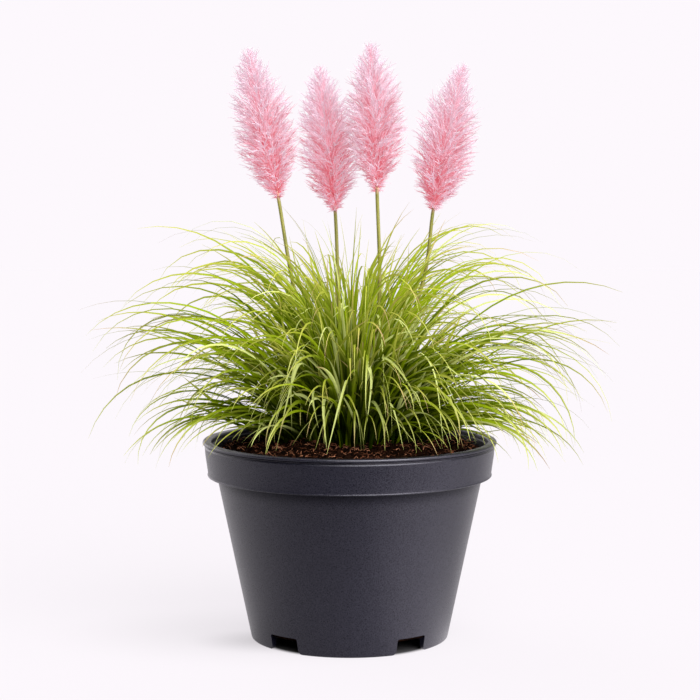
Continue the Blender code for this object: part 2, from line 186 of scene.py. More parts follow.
# Tiers of shoots, which stand where the solid tufts do, the first of a tier at
# its phase. Pairs hold for shoots that lean to a side and for those to the front
# or back. Root: distance from the middle. Spread: degrees to each side. Blades
# and inner: how many arching and short ones. Lean and tip: degrees of slope at
# the root and at the tip. Bend: how late they turn down. Width: share of a
# blade's.
TIERS = {
    "low": dict(count=18, phase=4.0, root=(0.060, 0.047), spread=11.0, blades=(18, 5), inner=13,
                lean=(37.5, 68.0), tip=(-74.0, -76.0), length=(0.198, 0.150), bend=(1.5, 1.5),
                inner_length=(0.080, 0.150), width=0.90),
    "middle": dict(count=14, phase=0.0, root=(0.041, 0.034), spread=14.0, blades=(24, 10), inner=12,
                   lean=(61.8, 72.0), tip=(-62.0, -70.0), length=(0.308, 0.215),
                   bend=(1.5, 1.7), inner_length=(0.100, 0.185), width=0.86),
    "high": dict(count=10, phase=9.0, root=(0.025, 0.022), spread=24.0, blades=(25, 21), inner=10,
                 lean=(78.0, 80.0), tip=(-46.0, -50.0), length=(0.318, 0.260),
                 bend=(2.3, 2.1), inner_length=(0.130, 0.215), width=0.80),
    "top": dict(count=4, phase=62.0, root=(0.0075, 0.0075), spread=60.0, blades=(36, 36), inner=12,
                lean=(83.0, 83.0), tip=(14.0, 8.0), length=(0.260, 0.252), bend=(2.0, 2.0),
                inner_length=(0.160, 0.240), width=0.80),
}
LEAF_SEED = 7
RIGHT_BLADES = 6                # more on each tuft that leans fully to the right
LEAF_SEGMENTS = 16
LEAF_KEEL = 0.15                # share of the blade's width
LEAF_THICKNESS = 0.09
PALE_BLADES = 0.09              # share of them
# How the blades of a shoot differ: limits, or a mean and a deviation. Slopes are
# in degrees, other angles in radians
BLADE_WIDTH = (0.0026, 0.0053)
BLADE_LENGTH = (1.04, 0.50)     # of the longest, and what the shortest have less
BLADE_LEAN = (1.0, 9.0)         # added to the shoot's, and so is the next
BLADE_TIP = (0.0, 17.0)
STEEPEST = 88.0
BLADE_BEND = (0.8, 1.3)
BLADE_SWAY = (0.0, 0.30)
BLADE_WAVE = (0.0, 0.03)
BLADE_TWIST = (0.0, 1.0)
BLADE_ROLL = (0.0, 0.6)
BLADE_TAPER = (1.6, 3.0)
INNER_WIDTH = (0.0040, 0.0068)
INNER_LEAN = (78.0, 7.0)
INNER_TIP = (30.0, 30.0)
ROOT_TURN = (0.0, 0.16)
ROOT_SHIFT = (0.0, 0.008)
ROOT_RADII = (0.001, 0.073)
STRAY_SHARES = (0.07, 0.60)     # of all blades that point elsewhere, and more of short ones
STRAY_TURN = (0.0, 0.8)
STRAY_LENGTH = 0.7
DIM_TONE = 0.75                 # share of its tone that a short blade or a crumb keeps
LEAF_GLOW = (0.66, 1.30)        # low and high up: stands in for light through thin blades
GLOW_HEIGHTS = (0.25, 0.42)
CROWN = (0.0, 0.0, 0.190)       # painted shade darkens the leaves towards it
CROWN_SHADE = (0.055, 0.208)    # distances from it
CROWN_STRETCH = (1.0, 1.0, 1.35)    # by axis
BLADE_SWELL = (0.82, 0.36)      # of its width at the root, and what it gains up to the tip
BLADE_LEAST = 0.035             # of its width, at the very tip

# Blades picked out before the crown, on the tufts whose numbers are given. For
# each, in millimetres: top of the arch, middle of its fall and tip, as x and z
# seen from the front; how far out the tip hangs; width. Then how pale it is.
FRONT_BLADES = {
    13: (((-65, 294), (-97, 280), (-121, 248), 84, 3.4, 0.9),
         ((-65, 276), (-81, 263), (-96, 241), 96, 2.6, 0.4),
         ((-80, 231), (-91, 220), (-99, 208), 98, 2.6, 0.5)),
    28: (((-29, 312), (-51, 295), (-73, 240), 96, 3.6, 1.0),
         ((-43, 294), (-56, 275), (-56, 224), 100, 4.2, 0.8),
         ((-46, 288), (-57, 266), (-71, 206), 112, 4.6, 0.9),
         ((-44, 280), (-64, 254), (-80, 214), 104, 3.6, 0.7),
         ((-35, 337), (-46, 336), (-56, 330), 66, 2.6, 0.8),
         ((-44, 328), (-55, 316), (-57, 301), 70, 2.2, 0.8)),
    14: (((-29, 237), (-42, 230), (-55, 212), 112, 2.4, 0.5),
         ((-34, 261), (-35, 251), (-30, 228), 112, 3.6, 0.7),
         ((-24, 253), (-25, 238), (-22, 209), 118, 4.4, 0.9),
         ((-14, 252), (-24, 235), (-33, 208), 116, 3.4, 0.5)),
    29: (((-2, 273), (-9, 254), (-22, 204), 120, 5.4, 1.0),
         ((1, 339), (-10, 337), (-17, 331), 62, 2.6, 0.8)),
    30: (((12, 293), (21, 275), (17, 233), 98, 5.4, 1.0),
         ((26, 334), (32, 305), (34, 251), 74, 3.6, 0.6),
         ((43, 327), (53, 322), (57, 313), 66, 2.4, 0.8)),
    15: (((22, 251), (32, 234), (34, 207), 116, 4.0, 0.5),
         ((37, 250), (45, 237), (52, 207), 114, 3.8, 0.8),
         ((28, 245), (47, 232), (69, 206), 112, 2.4, 0.5)),
    31: (((30, 293), (55, 273), (88, 207), 104, 4.0, 0.6),
         ((26, 289), (47, 278), (64, 247), 92, 3.6, 0.7),
         ((61, 299), (82, 280), (91, 211), 100, 4.6, 1.0)),
    32: (((83, 284), (106, 276), (124, 251), 80, 3.2, 0.7),
         ((89, 302), (115, 286), (133, 254), 78, 3.4, 0.8),
         ((85, 276), (105, 246), (124, 212), 84, 3.0, 0.7)),
}
BLADE_STEPS = 8
ARCH_REACH = (0.72, 0.92, 1.0)  # how far out its top, fall and tip are, to the tip
ARCH_ROOT = (0.25, -0.034)      # x of its root, to that of its top, and y
ARCH_SHOULDER = (0.32, 0.45, 0.66)      # between root and top, by axis
PLANT_DEPTH = 0.004             # how deep leaves start in the soil

# Flowers: root, middle of the stem, neck, middle of the plume, tip
FLOWERS = (
    ((-0.0160, 0.0020, 0.200), (-0.0540, 0.0000, 0.345), (-0.0725, 0.0000, 0.4505),
     (-0.0866, 0.0000, 0.523), (-0.1028, 0.0000, 0.599)),
    ((-0.0070, 0.0140, 0.200), (-0.0115, 0.0220, 0.345), (-0.0150, 0.0250, 0.4370),
     (-0.0225, 0.0250, 0.508), (-0.0310, 0.0250, 0.583)),
    ((0.0090, -0.0150, 0.200), (0.0290, -0.0230, 0.332), (0.0273, -0.0250, 0.4576),
     (0.0252, -0.0250, 0.528), (0.0200, -0.0250, 0.602)),
    ((0.0170, 0.0030, 0.200), (0.0715, 0.0050, 0.352), (0.0851, 0.0050, 0.4384),
     (0.0975, 0.0050, 0.506), (0.1145, 0.0050, 0.584)),
)
FLOWER_STEPS = 24               # from each of these to the next
NECK = 2 * FLOWER_STEPS         # the step at the neck
STEM_RADIUS = 0.0021
STEM_SIDES = 16
STEM_DEPTH = 0.008              # how deep it starts in the soil
STEM_JOINTS = (0.30, 0.62)      # shares of the way up it
JOINT_LENGTH = 0.012            # share of the stem
JOINT_SWELL = 0.12              # share of its radius
STEM_TAPER = 0.15               # share of its radius that it loses up to the neck
CORE_SIDES = 10
CORE_REACH = 0.92               # share of the plume's height
CORE_FORM = ((0.0, 0.0021), (0.06, 0.0015), (1.0, 0.0004))      # share of the plume, radius
SHEATH_HEIGHTS = (0.284, 0.319)     # of the dry sheath on the third stem
SHEATH_OFFSET = (-0.0012, -0.0032, 0.0)
SHEATH_WIDTH = 0.0064
SHEATH_KEEL = 0.2
SHEATH_THICKNESS = 0.15
# Share of the way up the plume, and its radius without the fringe of hairs
PLUME_FORM = ((0.0, 0.0018), (0.05, 0.0062), (0.12, 0.0150), (0.20, 0.0224), (0.30, 0.0272),
              (0.45, 0.0285), (0.57, 0.0275), (0.68, 0.0246), (0.82, 0.0174), (0.93, 0.0088),
              (1.0, 0.0024))
PLUME_LEVELS = (0.015, 0.988)   # where the lowest and the highest branch end
PLUME_FILL = 0.006              # added to its radius where branches are shared out by it
BRANCH_REACH = (1.06, 0.52)     # of the longest, and what the shortest have less
BRANCH_BOW = (0.72, 1.28)       # a branch's slope where it starts and ends, to the mean
BRANCH_STEEP = (0.85, 1.15)     # how much that differs from branch to branch
BRANCH_TURN = (0.0, 0.25)
BRANCH_WAVE = (0.05, 0.40)
BRANCH_SWAY = (0.0, 0.40)
# Share of the way up the plume, and the branches' slope against its axis
PLUME_SLOPE = ((0.0, 62.0), (0.25, 52.0), (0.7, 40.0), (1.0, 20.0))
PLUME_BRANCHES = 660
BRANCH_SEGMENTS = 8
BRANCH_RADIUS = 0.00055
BRANCH_THINNING = 0.75          # share of it that it loses up to the tip
BRANCH_HAIRS = 16
HAIR_LENGTH = 0.0082
HAIR_RADIUS = 0.00040
HAIR_BEND = 0.26
HAIR_LENGTHS = (0.45, 0.95)     # share of the shortest, and what the longest have more
HAIR_WIDTHS = (0.80, 1.45)      # shares of dark and of light hairs
HAIR_TIP = 0.35                 # share of its radius there
HAIR_TONE = 0.4                 # its own part in its shade; the rest is its branch's
HAIRLESS = 0.12                 # share of the branch
HAIR_SPREAD = 0.30              # how far hairs stray from their branch's way
HAIR_SPLAY = 0.12               # and lean outwards
# Share of the way up the plume, and the share of their length that hairs have there
HAIR_REACH = ((0.0, 0.6), (0.15, 1.0), (0.8, 1.0), (1.0, 0.7))
PLUME_SEED = 23
GOLDEN_ANGLE = 2.39996          # radians from one branch to the next

# Colours in linear light. Pairs run from dark to light
POT_COLOURS = ((0.0002, 0.0002, 0.0028), (0.0040, 0.0040, 0.0100))
POT_SHEEN = (0.92, 0.90, 1.0)
SOIL_COLOURS = ((0.0006, 0.0003, 0.0002), (0.011, 0.0042, 0.0021))
FIBRE_COLOURS = ((0.0018, 0.0007, 0.0004), (0.130, 0.046, 0.023))
FIBRE_LIT = (0.300, 0.132, 0.072)
LEAF_COLOURS = ((0.013, 0.037, 0.0001), (0.174, 0.240, 0.003))
LEAF_TIP = (0.278, 0.268, 0.050)
LEAF_PALE_AND_SHEEN = (0.385, 0.420, 0.145)
LEAF_DRY = (0.29, 0.190, 0.100)
LEAF_UNDER = (0.24, 0.28, 0.02)
LEAF_VEIN = (0.26, 0.31, 0.01)
LEAF_PAINTED_SHADE = (0.006, 0.014, 0.0001)
STEM_COLOURS = ((0.130, 0.130, 0.018), (0.240, 0.225, 0.042))
STEM_NECK = (0.46, 0.28, 0.18)
STEM_JOINT = (0.16, 0.11, 0.04)
SHEATH_COLOURS = ((0.20, 0.105, 0.060), (0.36, 0.215, 0.130))
CORE_COLOURS = ((0.62, 0.38, 0.24), (0.80, 0.30, 0.34))
# From the inside of the plume to its outside; the deeper rose inside is partly its own colour and
# partly painted shade
PLUME_LOW = ((0.80, 0.250, 0.295), (0.87, 0.63, 0.71))
PLUME_TOP = ((0.86, 0.64, 0.72), (0.88, 0.84, 0.91))
PLUME_PALE = ((0.88, 0.63, 0.71), (0.87, 0.75, 0.83))
PLUME_DEEP = (0.70, 0.21, 0.275)
# What the hairs send back of the light, and what they glow with
PLUME_LIT = (0.60, 0.60, 0.60)
PLUME_GLOW = (1.0, 0.78, 0.82)


class Tree:
    """Short ways to add nodes to a node tree and to wire them."""

    def __init__(self, tree):
        self.tree = tree

    def plug(self, socket, value):
        """Wires an output to a socket, or gives it a value or a colour."""
        if isinstance(value, bpy.types.NodeSocket):
            self.tree.links.new(value, socket)
        else:
            socket.default_value = (*value, 1.0) if socket.type == "RGBA" else value

    def add(self, kind, sockets=None, **settings):
        """A node; sockets may be named or numbered, and given outputs or values."""
        node = self.tree.nodes.new(kind)
        for name, value in settings.items():
            setattr(node, name, value)
        self.fill(node, sockets or {})
        return node

    def fill(self, node, sockets):
        """Gives several of a node's inputs their outputs or values."""
        for name, value in sockets.items():
            self.plug(node.inputs[name], value)

    def math(self, operation, *values):
        node = self.add("ShaderNodeMath", dict(enumerate(values)), operation=operation)
        return node.outputs[0]

    def vector(self, operation, *values):
        node = self.add("ShaderNodeVectorMath", dict(enumerate(values)), operation=operation)
        return node.outputs[1 if operation in ("DOT_PRODUCT", "LENGTH") else 0]

    def scale(self, vector, factor):
        node = self.add("ShaderNodeVectorMath", {0: vector, "Scale": factor}, operation="SCALE")
        return node.outputs[0]

    def range(self, value, low, high, new_low=0.0, new_high=1.0, smooth=True):
        node = self.add("ShaderNodeMapRange", {0: value, 1: low, 2: high, 3: new_low, 4: new_high},
                        interpolation_type="SMOOTHSTEP" if smooth else "LINEAR")
        return node.outputs[0]

    def blend(self, factor, low, high, kind="MIX"):
        """Mixes two colours."""
        node = self.add("ShaderNodeMix", data_type="RGBA", blend_type=kind)
        for socket, value in zip((node.inputs[0], node.inputs[6], node.inputs[7]),
                                 (factor, low, high)):
            self.plug(socket, value)
        return node.outputs[2]

    def named(self, name, kind="FLOAT"):
        """An attribute, in a Geometry Nodes tree."""
        node = self.add("GeometryNodeInputNamedAttribute", {"Name": name}, data_type=kind)
        return node.outputs["Attribute"]

    def store(self, geometry, name, value, kind="FLOAT", domain="POINT"):
        node = self.add("GeometryNodeStoreNamedAttribute",
                        {"Geometry": geometry, "Name": name, "Value": value},
                        data_type=kind, domain=domain)
        return node.outputs["Geometry"]

    def random(self, low, high, seed):
        """A random number, or a random vector where the limits are vectors."""
        vector = isinstance(low, tuple)
        node = self.add("FunctionNodeRandomValue", {"Seed": seed},
                        data_type="FLOAT_VECTOR" if vector else "FLOAT")
        self.fill(node, {0: low, 1: high} if vector else {2: low, 3: high})
        return node.outputs[0 if vector else 1]

    def thinned(self, width, loss):
        """A width that falls by a share of itself along a strand."""
        left = self.math("SUBTRACT", 1.0, self.math("MULTIPLY", self.named("along"), loss))
        return self.math("MULTIPLY", width, left)

    def tube(self, curve, sides, radius):
        """A closed tube round a curve."""
        circle = self.add("GeometryNodeCurvePrimitiveCircle", {"Resolution": sides, "Radius": 1.0})
        node = self.add("GeometryNodeCurveToMesh",
                        {"Curve": curve, "Profile Curve": circle.outputs["Curve"],
                         "Scale": radius, "Fill Caps": True})
        return node.outputs["Mesh"]

    def join(self, *geometries):
        node = self.add("GeometryNodeJoinGeometry")
        for geometry in geometries:
            self.plug(node.inputs[0], geometry)
        return node.outputs[0]


def new_tree(name, kind, inputs, outputs):
    """A node group and its input and output nodes."""
    group = bpy.data.node_groups.new(name, kind)
    for direction, sockets in (("INPUT", inputs), ("OUTPUT", outputs)):
        for socket_name, socket_kind, *value in sockets:
            socket = group.interface.new_socket(socket_name, in_out=direction,
                                                socket_type="NodeSocket" + socket_kind)
            if value:
                socket.default_value = value[0]
    tree = Tree(group)
    return tree, tree.add("NodeGroupInput").outputs, tree.add("NodeGroupOutput").inputs


# Geometry Nodes

RIPPLE = 11.0                   # radians of a strand's ripple from end to end
DRIFT = 8.0                     # and of its drift to the sides
TONE_PHASE = 40.0               # radians between strands of the lowest and highest tone
DRIFT_PHASE = 1.7               # how much further apart their drifts are
RIBBON_INPUTS = [("Keel", "Float", LEAF_KEEL), ("Thickness", "Float", LEAF_THICKNESS),
                 ("Material", "Material")]


def heading_nodes(t, share):
    """Where a strand runs at a share of its length: its heading, and the
    direction across it."""
    forward = t.named("forward", "FLOAT_VECTOR")
    rise = t.named("rise", "FLOAT_VECTOR")
    bent = t.math("POWER", t.math("MAXIMUM", share, 0.0), t.named("bend"))
    slope = t.math("MULTIPLY_ADD", t.math("SUBTRACT", t.named("tip"), t.named("lean")), bent,
                   t.named("lean"))
    phase = t.math("MULTIPLY", t.named("tone"), TONE_PHASE)
    ripple = t.math("SINE", t.math("MULTIPLY_ADD", share, RIPPLE, phase))
    slope = t.math("MULTIPLY_ADD", t.named("wave"), ripple, slope)
    drift = t.math("SINE", t.math("MULTIPLY_ADD", share, DRIFT,
                                  t.math("MULTIPLY", phase, DRIFT_PHASE)))
    turn = t.math("MULTIPLY_ADD", t.named("sway"), share, t.math("MULTIPLY", t.named("wave"), drift))
    side = t.vector("CROSS_PRODUCT", rise, forward)
    cos, sin = t.math("COSINE", turn), t.math("SINE", turn)
    ahead = t.vector("ADD", t.scale(forward, cos), t.scale(side, sin))
    across = t.vector("SUBTRACT", t.scale(side, cos), t.scale(forward, sin))
    heading = t.vector("ADD", t.scale(ahead, t.math("COSINE", slope)),
                       t.scale(rise, t.math("SINE", slope)))
    return heading, across


def make_growth_group():
    """One curve per point, bent by the attributes that the point carries."""
    t, given, result = new_tree("grow_strands", "GeometryNodeTree",
                                [("Points", "Geometry"), ("Segments", "Int")],
                                [("Strands", "Geometry")])
    segments = given["Segments"]
    line = t.add("GeometryNodeCurvePrimitiveLine", {"End": UPWARDS})
    fine = t.add("GeometryNodeResampleCurve",
                 {"Curve": line.outputs["Curve"], "Count": t.math("ADD", segments, 1.0)})
    placed = t.add("GeometryNodeInstanceOnPoints",
                   {"Points": given["Points"], "Instance": fine.outputs["Curve"]})
    real = t.add("GeometryNodeRealizeInstances", {"Geometry": placed.outputs["Instances"]})
    place = t.add("GeometryNodeCurveOfPoint")
    index = place.outputs["Index in Curve"]
    middle = t.math("DIVIDE", t.math("SUBTRACT", index, 0.5), segments)
    heading, _ = heading_nodes(t, middle)
    step = t.math("DIVIDE", t.named("length"), segments)
    step = t.math("MULTIPLY", step, t.math("GREATER_THAN", index, 0.5))
    run = t.add("GeometryNodeAccumulateField",
                {"Value": t.scale(heading, step), "Group Index": place.outputs["Curve Index"]},
                data_type="FLOAT_VECTOR", domain="POINT")
    spot = t.vector("ADD", t.named("root", "FLOAT_VECTOR"), run.outputs["Leading"])
    moved = t.add("GeometryNodeSetPosition",
                  {"Geometry": real.outputs["Geometry"], "Position": spot})
    share = t.math("DIVIDE", index, segments)
    kept = t.store(moved.outputs["Geometry"], "along", share)
    heading, across = heading_nodes(t, share)
    twist = t.math("MULTIPLY_ADD", t.named("twist"), share, t.named("roll"))
    lift = t.vector("CROSS_PRODUCT", heading, across)
    facing = t.vector("ADD", t.scale(across, t.math("COSINE", twist)),
                      t.scale(lift, t.math("SINE", twist)))
    kept = t.store(kept, "facing", facing, "FLOAT_VECTOR")
    down = t.math("MULTIPLY", t.add("ShaderNodeSeparateXYZ", {0: heading}).outputs[2], -1.0)
    kept = t.store(kept, "fall", down)
    t.plug(result["Strands"], kept)
    return t.tree


def grow_nodes(t, growth, points, segments):
    """Strands grown from points."""
    node = t.add("GeometryNodeGroup", node_tree=growth)
    t.fill(node, {"Points": points, "Segments": segments})
    return node.outputs["Strands"]


def finish_nodes(t, mesh, result, material, crease=None):
    """Smooth shading, creased where faces meet at more than an angle."""
    if crease is not None:
        angle = t.add("GeometryNodeInputMeshEdgeAngle").outputs["Unsigned Angle"]
        mesh = t.add("GeometryNodeSetShadeSmooth",
                     {"Geometry": mesh, "Selection": t.math("GREATER_THAN", angle, crease),
                      "Shade Smooth": False}, domain="EDGE").outputs["Geometry"]
    real = t.add("GeometryNodeRealizeInstances", {"Geometry": mesh}).outputs["Geometry"]
    painted = t.add("GeometryNodeSetMaterial", {"Geometry": real, "Material": material})
    t.plug(result["Mesh"], painted.outputs["Geometry"])


def ribbon_nodes(t, given, result, strands):
    """Keeled ribbons that swell a little and are drawn out to a fine point."""
    turned = t.add("GeometryNodeSetCurveNormal",
                   {"Curve": strands, "Normal": t.named("facing", "FLOAT_VECTOR")}, mode="FREE")
    # The blade's section: a flat diamond, bent down in its middle
    circle = t.add("GeometryNodeCurvePrimitiveCircle", {"Resolution": 4})
    corner = t.add("ShaderNodeSeparateXYZ", {0: t.add("GeometryNodeInputPosition").outputs[0]})
    x, y = corner.outputs[0], corner.outputs[1]
    middle = t.math("SUBTRACT", 1.0, t.math("ABSOLUTE", x))
    depth = t.math("MULTIPLY", t.math("MULTIPLY", y, 0.5), given["Thickness"])
    depth = t.math("SUBTRACT", depth, t.math("MULTIPLY", middle, given["Keel"]))
    section = t.add("ShaderNodeCombineXYZ", {0: t.math("MULTIPLY", x, 0.5), 1: depth})
    kept = t.store(circle.outputs["Curve"], "under", t.math("MULTIPLY_ADD", y, -0.5, 0.5))
    kept = t.store(kept, "across", x)
    profile = t.add("GeometryNodeSetPosition",
                    {"Geometry": kept, "Position": section.outputs[0]})
    share = t.named("along")
    taper = t.math("SUBTRACT", 1.0, t.math("POWER", share, t.named("taper")))
    swell = t.math("MULTIPLY_ADD", share, BLADE_SWELL[1], BLADE_SWELL[0])
    width = t.math("MULTIPLY", t.named("width"),
                   t.math("MAXIMUM", t.math("MULTIPLY", swell, taper), BLADE_LEAST))
    ribbon = t.add("GeometryNodeCurveToMesh",
                   {"Curve": turned.outputs["Curve"], "Profile Curve": profile.outputs["Geometry"],
                    "Scale": width, "Fill Caps": True})
    finish_nodes(t, ribbon.outputs["Mesh"], result, given["Material"],
                 crease=math.radians(BLADE_CREASE))


def make_leaf_tree(growth):
    """Blades grown from points."""
    t, given, result = new_tree("grow_leaves", "GeometryNodeTree",
                                [("Points", "Geometry"), ("Segments", "Int", LEAF_SEGMENTS)]
                                + RIBBON_INPUTS, [("Mesh", "Geometry")])
    strands = grow_nodes(t, growth, given["Points"], given["Segments"])
    ribbon_nodes(t, given, result, strands)
    return t.tree


def make_blade_tree():
    """Blades along given paths."""
    t, given, result = new_tree("draw_blades", "GeometryNodeTree",
                                [("Path", "Geometry")] + RIBBON_INPUTS, [("Mesh", "Geometry")])
    curve = t.add("GeometryNodeMeshToCurve", {"Mesh": given["Path"]})
    ribbon_nodes(t, given, result, curve.outputs["Curve"])
    return t.tree


def make_fibre_tree(growth):
    """Thin three-sided fibres, and crumbs on the points marked as such."""
    t, given, result = new_tree(
        "grow_fibres", "GeometryNodeTree",
        [("Points", "Geometry"), ("Segments", "Int", FIBRE_SEGMENTS), ("Material", "Material")],
        [("Mesh", "Geometry")])
    crumb = t.math("GREATER_THAN", t.named("crumb"), 0.5)
    split = t.add("GeometryNodeSeparateGeometry",
                  {"Geometry": given["Points"], "Selection": crumb}, domain="POINT")
    strands = grow_nodes(t, growth, split.outputs["Inverted"], given["Segments"])
    tubes = t.tube(strands, 3, t.thinned(t.named("width"), FIBRE_THINNING))
    ball = t.add("GeometryNodeMeshIcoSphere", {"Radius": 1.0, "Subdivisions": 1})
    noise = t.add("ShaderNodeTexNoise", {"Scale": 0.9, "Detail": 1.0})
    bumpy = t.add("GeometryNodeSetPosition",
                  {"Geometry": ball.outputs["Mesh"],
                   "Offset": t.scale(t.vector("SUBTRACT", noise.outputs["Color"],
                                              (0.5, 0.5, 0.5)), CRUMB_BUMPS)})
    turn = t.add("FunctionNodeEulerToRotation", {0: t.random(*CRUMB_TURNS, seed=5)})
    size = t.scale(t.random(*CRUMB_SHAPES, seed=6), t.named("width"))
    crumbs = t.add("GeometryNodeInstanceOnPoints",
                   {"Points": split.outputs["Selection"], "Instance": bumpy.outputs["Geometry"],
                    "Rotation": turn.outputs[0], "Scale": size})
    both = t.join(crumbs.outputs["Instances"], tubes)
    finish_nodes(t, both, result, given["Material"])
    return t.tree


def make_plume_tree(growth):
    """Branches that leave the middle of the plume, and hairs along each."""
    t, given, result = new_tree(
        "grow_plume", "GeometryNodeTree",
        [("Points", "Geometry"), ("Segments", "Int", BRANCH_SEGMENTS),
         ("Hairs", "Int", BRANCH_HAIRS), ("Hair Length", "Float", HAIR_LENGTH),
         ("Hair Radius", "Float", HAIR_RADIUS), ("Hair Bend", "Float", HAIR_BEND),
         ("Spread", "Float", HAIR_SPREAD), ("Splay", "Float", HAIR_SPLAY),
         ("Branch Radius", "Float", BRANCH_RADIUS), ("Material", "Material")],
        [("Mesh", "Geometry")])
    branches = grow_nodes(t, growth, given["Points"], given["Segments"])
    climbed = t.math("MULTIPLY_ADD", t.math("SUBTRACT", t.named("high"), t.named("low")),
                     t.named("along"), t.named("low"))
    branches = t.store(branches, "height", climbed)
    tubes = t.tube(branches, 3, t.thinned(given["Branch Radius"], BRANCH_THINNING))
    tubes = t.store(t.store(tubes, "hair", 0.0), "shade", t.named("strand"))
    # Hairs on points along the branches: where they point, how long and how dark
    spots = t.add("GeometryNodeCurveToPoints", {"Curve": branches, "Count": given["Hairs"]},
                  mode="COUNT")
    stray = t.scale(t.random((-1.0, -1.0, -1.0), (1.0, 1.0, 1.0), seed=11), given["Spread"])
    splay = t.scale(t.named("forward", "FLOAT_VECTOR"), given["Splay"])
    aim = t.vector("ADD", t.vector("ADD", spots.outputs["Tangent"], stray), splay)
    turn = t.add("FunctionNodeAlignRotationToVector", {"Vector": aim}, axis="Z")
    roll = t.add("FunctionNodeAxisAngleToRotation",
                 {"Axis": UPWARDS, "Angle": t.random(0.0, math.tau, seed=14)})
    turn = t.add("FunctionNodeRotateRotation", {0: turn.outputs[0], 1: roll.outputs[0]},
                 rotation_space="LOCAL")
    size = t.math("POWER", t.random(0.0, 1.0, seed=12), 1.6)
    size = t.math("MULTIPLY_ADD", size, HAIR_LENGTHS[1], HAIR_LENGTHS[0])
    size = t.math("MULTIPLY", given["Hair Length"], size)
    size = t.math("MULTIPLY", size, t.named("reach"))
    shade = t.math("ADD", t.random(0.0, HAIR_TONE, seed=15),
                   t.math("MULTIPLY", t.named("strand"), 1.0 - HAIR_TONE))
    radius = t.math("MULTIPLY", given["Hair Radius"], t.range(shade, 0.35, 0.85, *HAIR_WIDTHS))
    shape = t.add("ShaderNodeCombineXYZ", {0: radius, 1: radius, 2: size})
    # The hair itself: a slender three-sided cone that bows to one side
    cone = t.add("GeometryNodeMeshCone",
                 {"Vertices": 3, "Side Segments": 2, "Radius Bottom": 1.0,
                  "Radius Top": HAIR_TIP, "Depth": 1.0}, fill_type="NGON")
    tip = t.add("ShaderNodeSeparateXYZ", {0: t.add("GeometryNodeInputPosition").outputs[0]})
    bow = t.math("MULTIPLY", t.math("POWER", tip.outputs[2], 2.0), t.math(
        "DIVIDE", t.math("MULTIPLY", given["Hair Bend"], given["Hair Length"]),
        given["Hair Radius"]))
    bent = t.add("GeometryNodeSetPosition",
                 {"Geometry": cone.outputs["Mesh"],
                  "Offset": t.add("ShaderNodeCombineXYZ", {0: bow}).outputs[0]})
    hair = t.store(bent.outputs["Geometry"], "hair", tip.outputs[2])
    spots = t.store(spots.outputs["Points"], "shade", shade)
    haired = t.math("GREATER_THAN", t.named("along"), HAIRLESS)
    hairs = t.add("GeometryNodeInstanceOnPoints",
                  {"Points": spots, "Selection": haired, "Instance": hair,
                   "Rotation": turn.outputs[0], "Scale": shape.outputs[0]})
    both = t.join(tubes, hairs.outputs["Instances"])
    finish_nodes(t, both, result, given["Material"])
    return t.tree


def make_tube_tree():
    """A round tube along a path whose points carry their own radius."""
    t, given, result = new_tree(
        "draw_tube", "GeometryNodeTree",
        [("Path", "Geometry"), ("Sides", "Int", STEM_SIDES), ("Material", "Material")],
        [("Mesh", "Geometry")])
    curve = t.add("GeometryNodeMeshToCurve", {"Mesh": given["Path"]})
    share = t.add("GeometryNodeSplineParameter").outputs["Factor"]
    kept = t.store(curve.outputs["Curve"], "along", share)
    tube = t.tube(kept, given["Sides"], t.named("radius"))
    finish_nodes(t, tube, result, given["Material"], crease=math.radians(TUBE_CREASE))
    return t.tree


def evaluate(name, mesh, tree, **inputs):
    """Runs a Geometry Nodes tree over a mesh and keeps the result as a piece."""
    source = bpy.data.objects.new(name, mesh)
    bpy.context.scene.collection.objects.link(source)
    modifier = source.modifiers.new("nodes", "NODES")
    modifier.node_group = tree
    for item in tree.interface.items_tree:
        if item.item_type == "SOCKET" and item.in_out == "INPUT" and item.name in inputs:
            modifier[item.identifier] = inputs[item.name]
    source.update_tag()
    graph = bpy.context.evaluated_depsgraph_get()
    result = bpy.data.meshes.new_from_object(source.evaluated_get(graph))
    source.modifiers.clear()
    source.data = result
    result.name = name
    return source


def point_mesh(name, values, edges=()):
    """Points, or a path, whose attributes hold the given arrays."""
    mesh = bpy.data.meshes.new(name)
    mesh.from_pydata([tuple(p) for p in values["root"]], list(edges), [])
    for key, array in values.items():
        array = np.asarray(array, dtype=np.float32)
        kind, field = ("FLOAT_VECTOR", "vector") if array.ndim == 2 else ("FLOAT", "value")
        attribute = mesh.attributes.new(key, kind, "POINT")
        attribute.data.foreach_set(field, array.ravel())
    return mesh


# Materials


def new_material(name):
    """A material, its node tree and its shader."""
    mat = bpy.data.materials.new(name)
    mat.use_nodes = True
    tree = Tree(mat.node_tree)
    return mat, tree, mat.node_tree.nodes["Principled BSDF"]


def attribute_value(t, name):
    """A mesh attribute, in a material."""
    return t.add("ShaderNodeAttribute", attribute_name=name).outputs["Fac"]


def make_grain_group():
    """Fine and broad mottling of a surface: a colour and a height."""
    t, given, result = new_tree(
        "surface_grain", "ShaderNodeTree",
        [("Vector", "Vector"), ("Dark", "Color"), ("Light", "Color"), ("Fine Scale", "Float"),
         ("Broad Scale", "Float"), ("Broad Share", "Float")],
        [("Color", "Color"), ("Height", "Float")])
    fine = t.add("ShaderNodeTexNoise", {"Vector": given["Vector"], "Scale": given["Fine Scale"],
                                        "Detail": 2.0, "Roughness": 0.6})
    broad = t.add("ShaderNodeTexNoise", {"Vector": given["Vector"],
                                         "Scale": given["Broad Scale"], "Detail": 3.0})
    share = t.add("ShaderNodeMix", {0: given["Broad Share"], 2: fine.outputs["Fac"],
                                    3: broad.outputs["Fac"]})
    spread = t.range(share.outputs[0], 0.32, 0.68)
    t.plug(result["Color"], t.blend(spread, given["Dark"], given["Light"]))
    t.plug(result["Height"], fine.outputs["Fac"])
    return t.tree


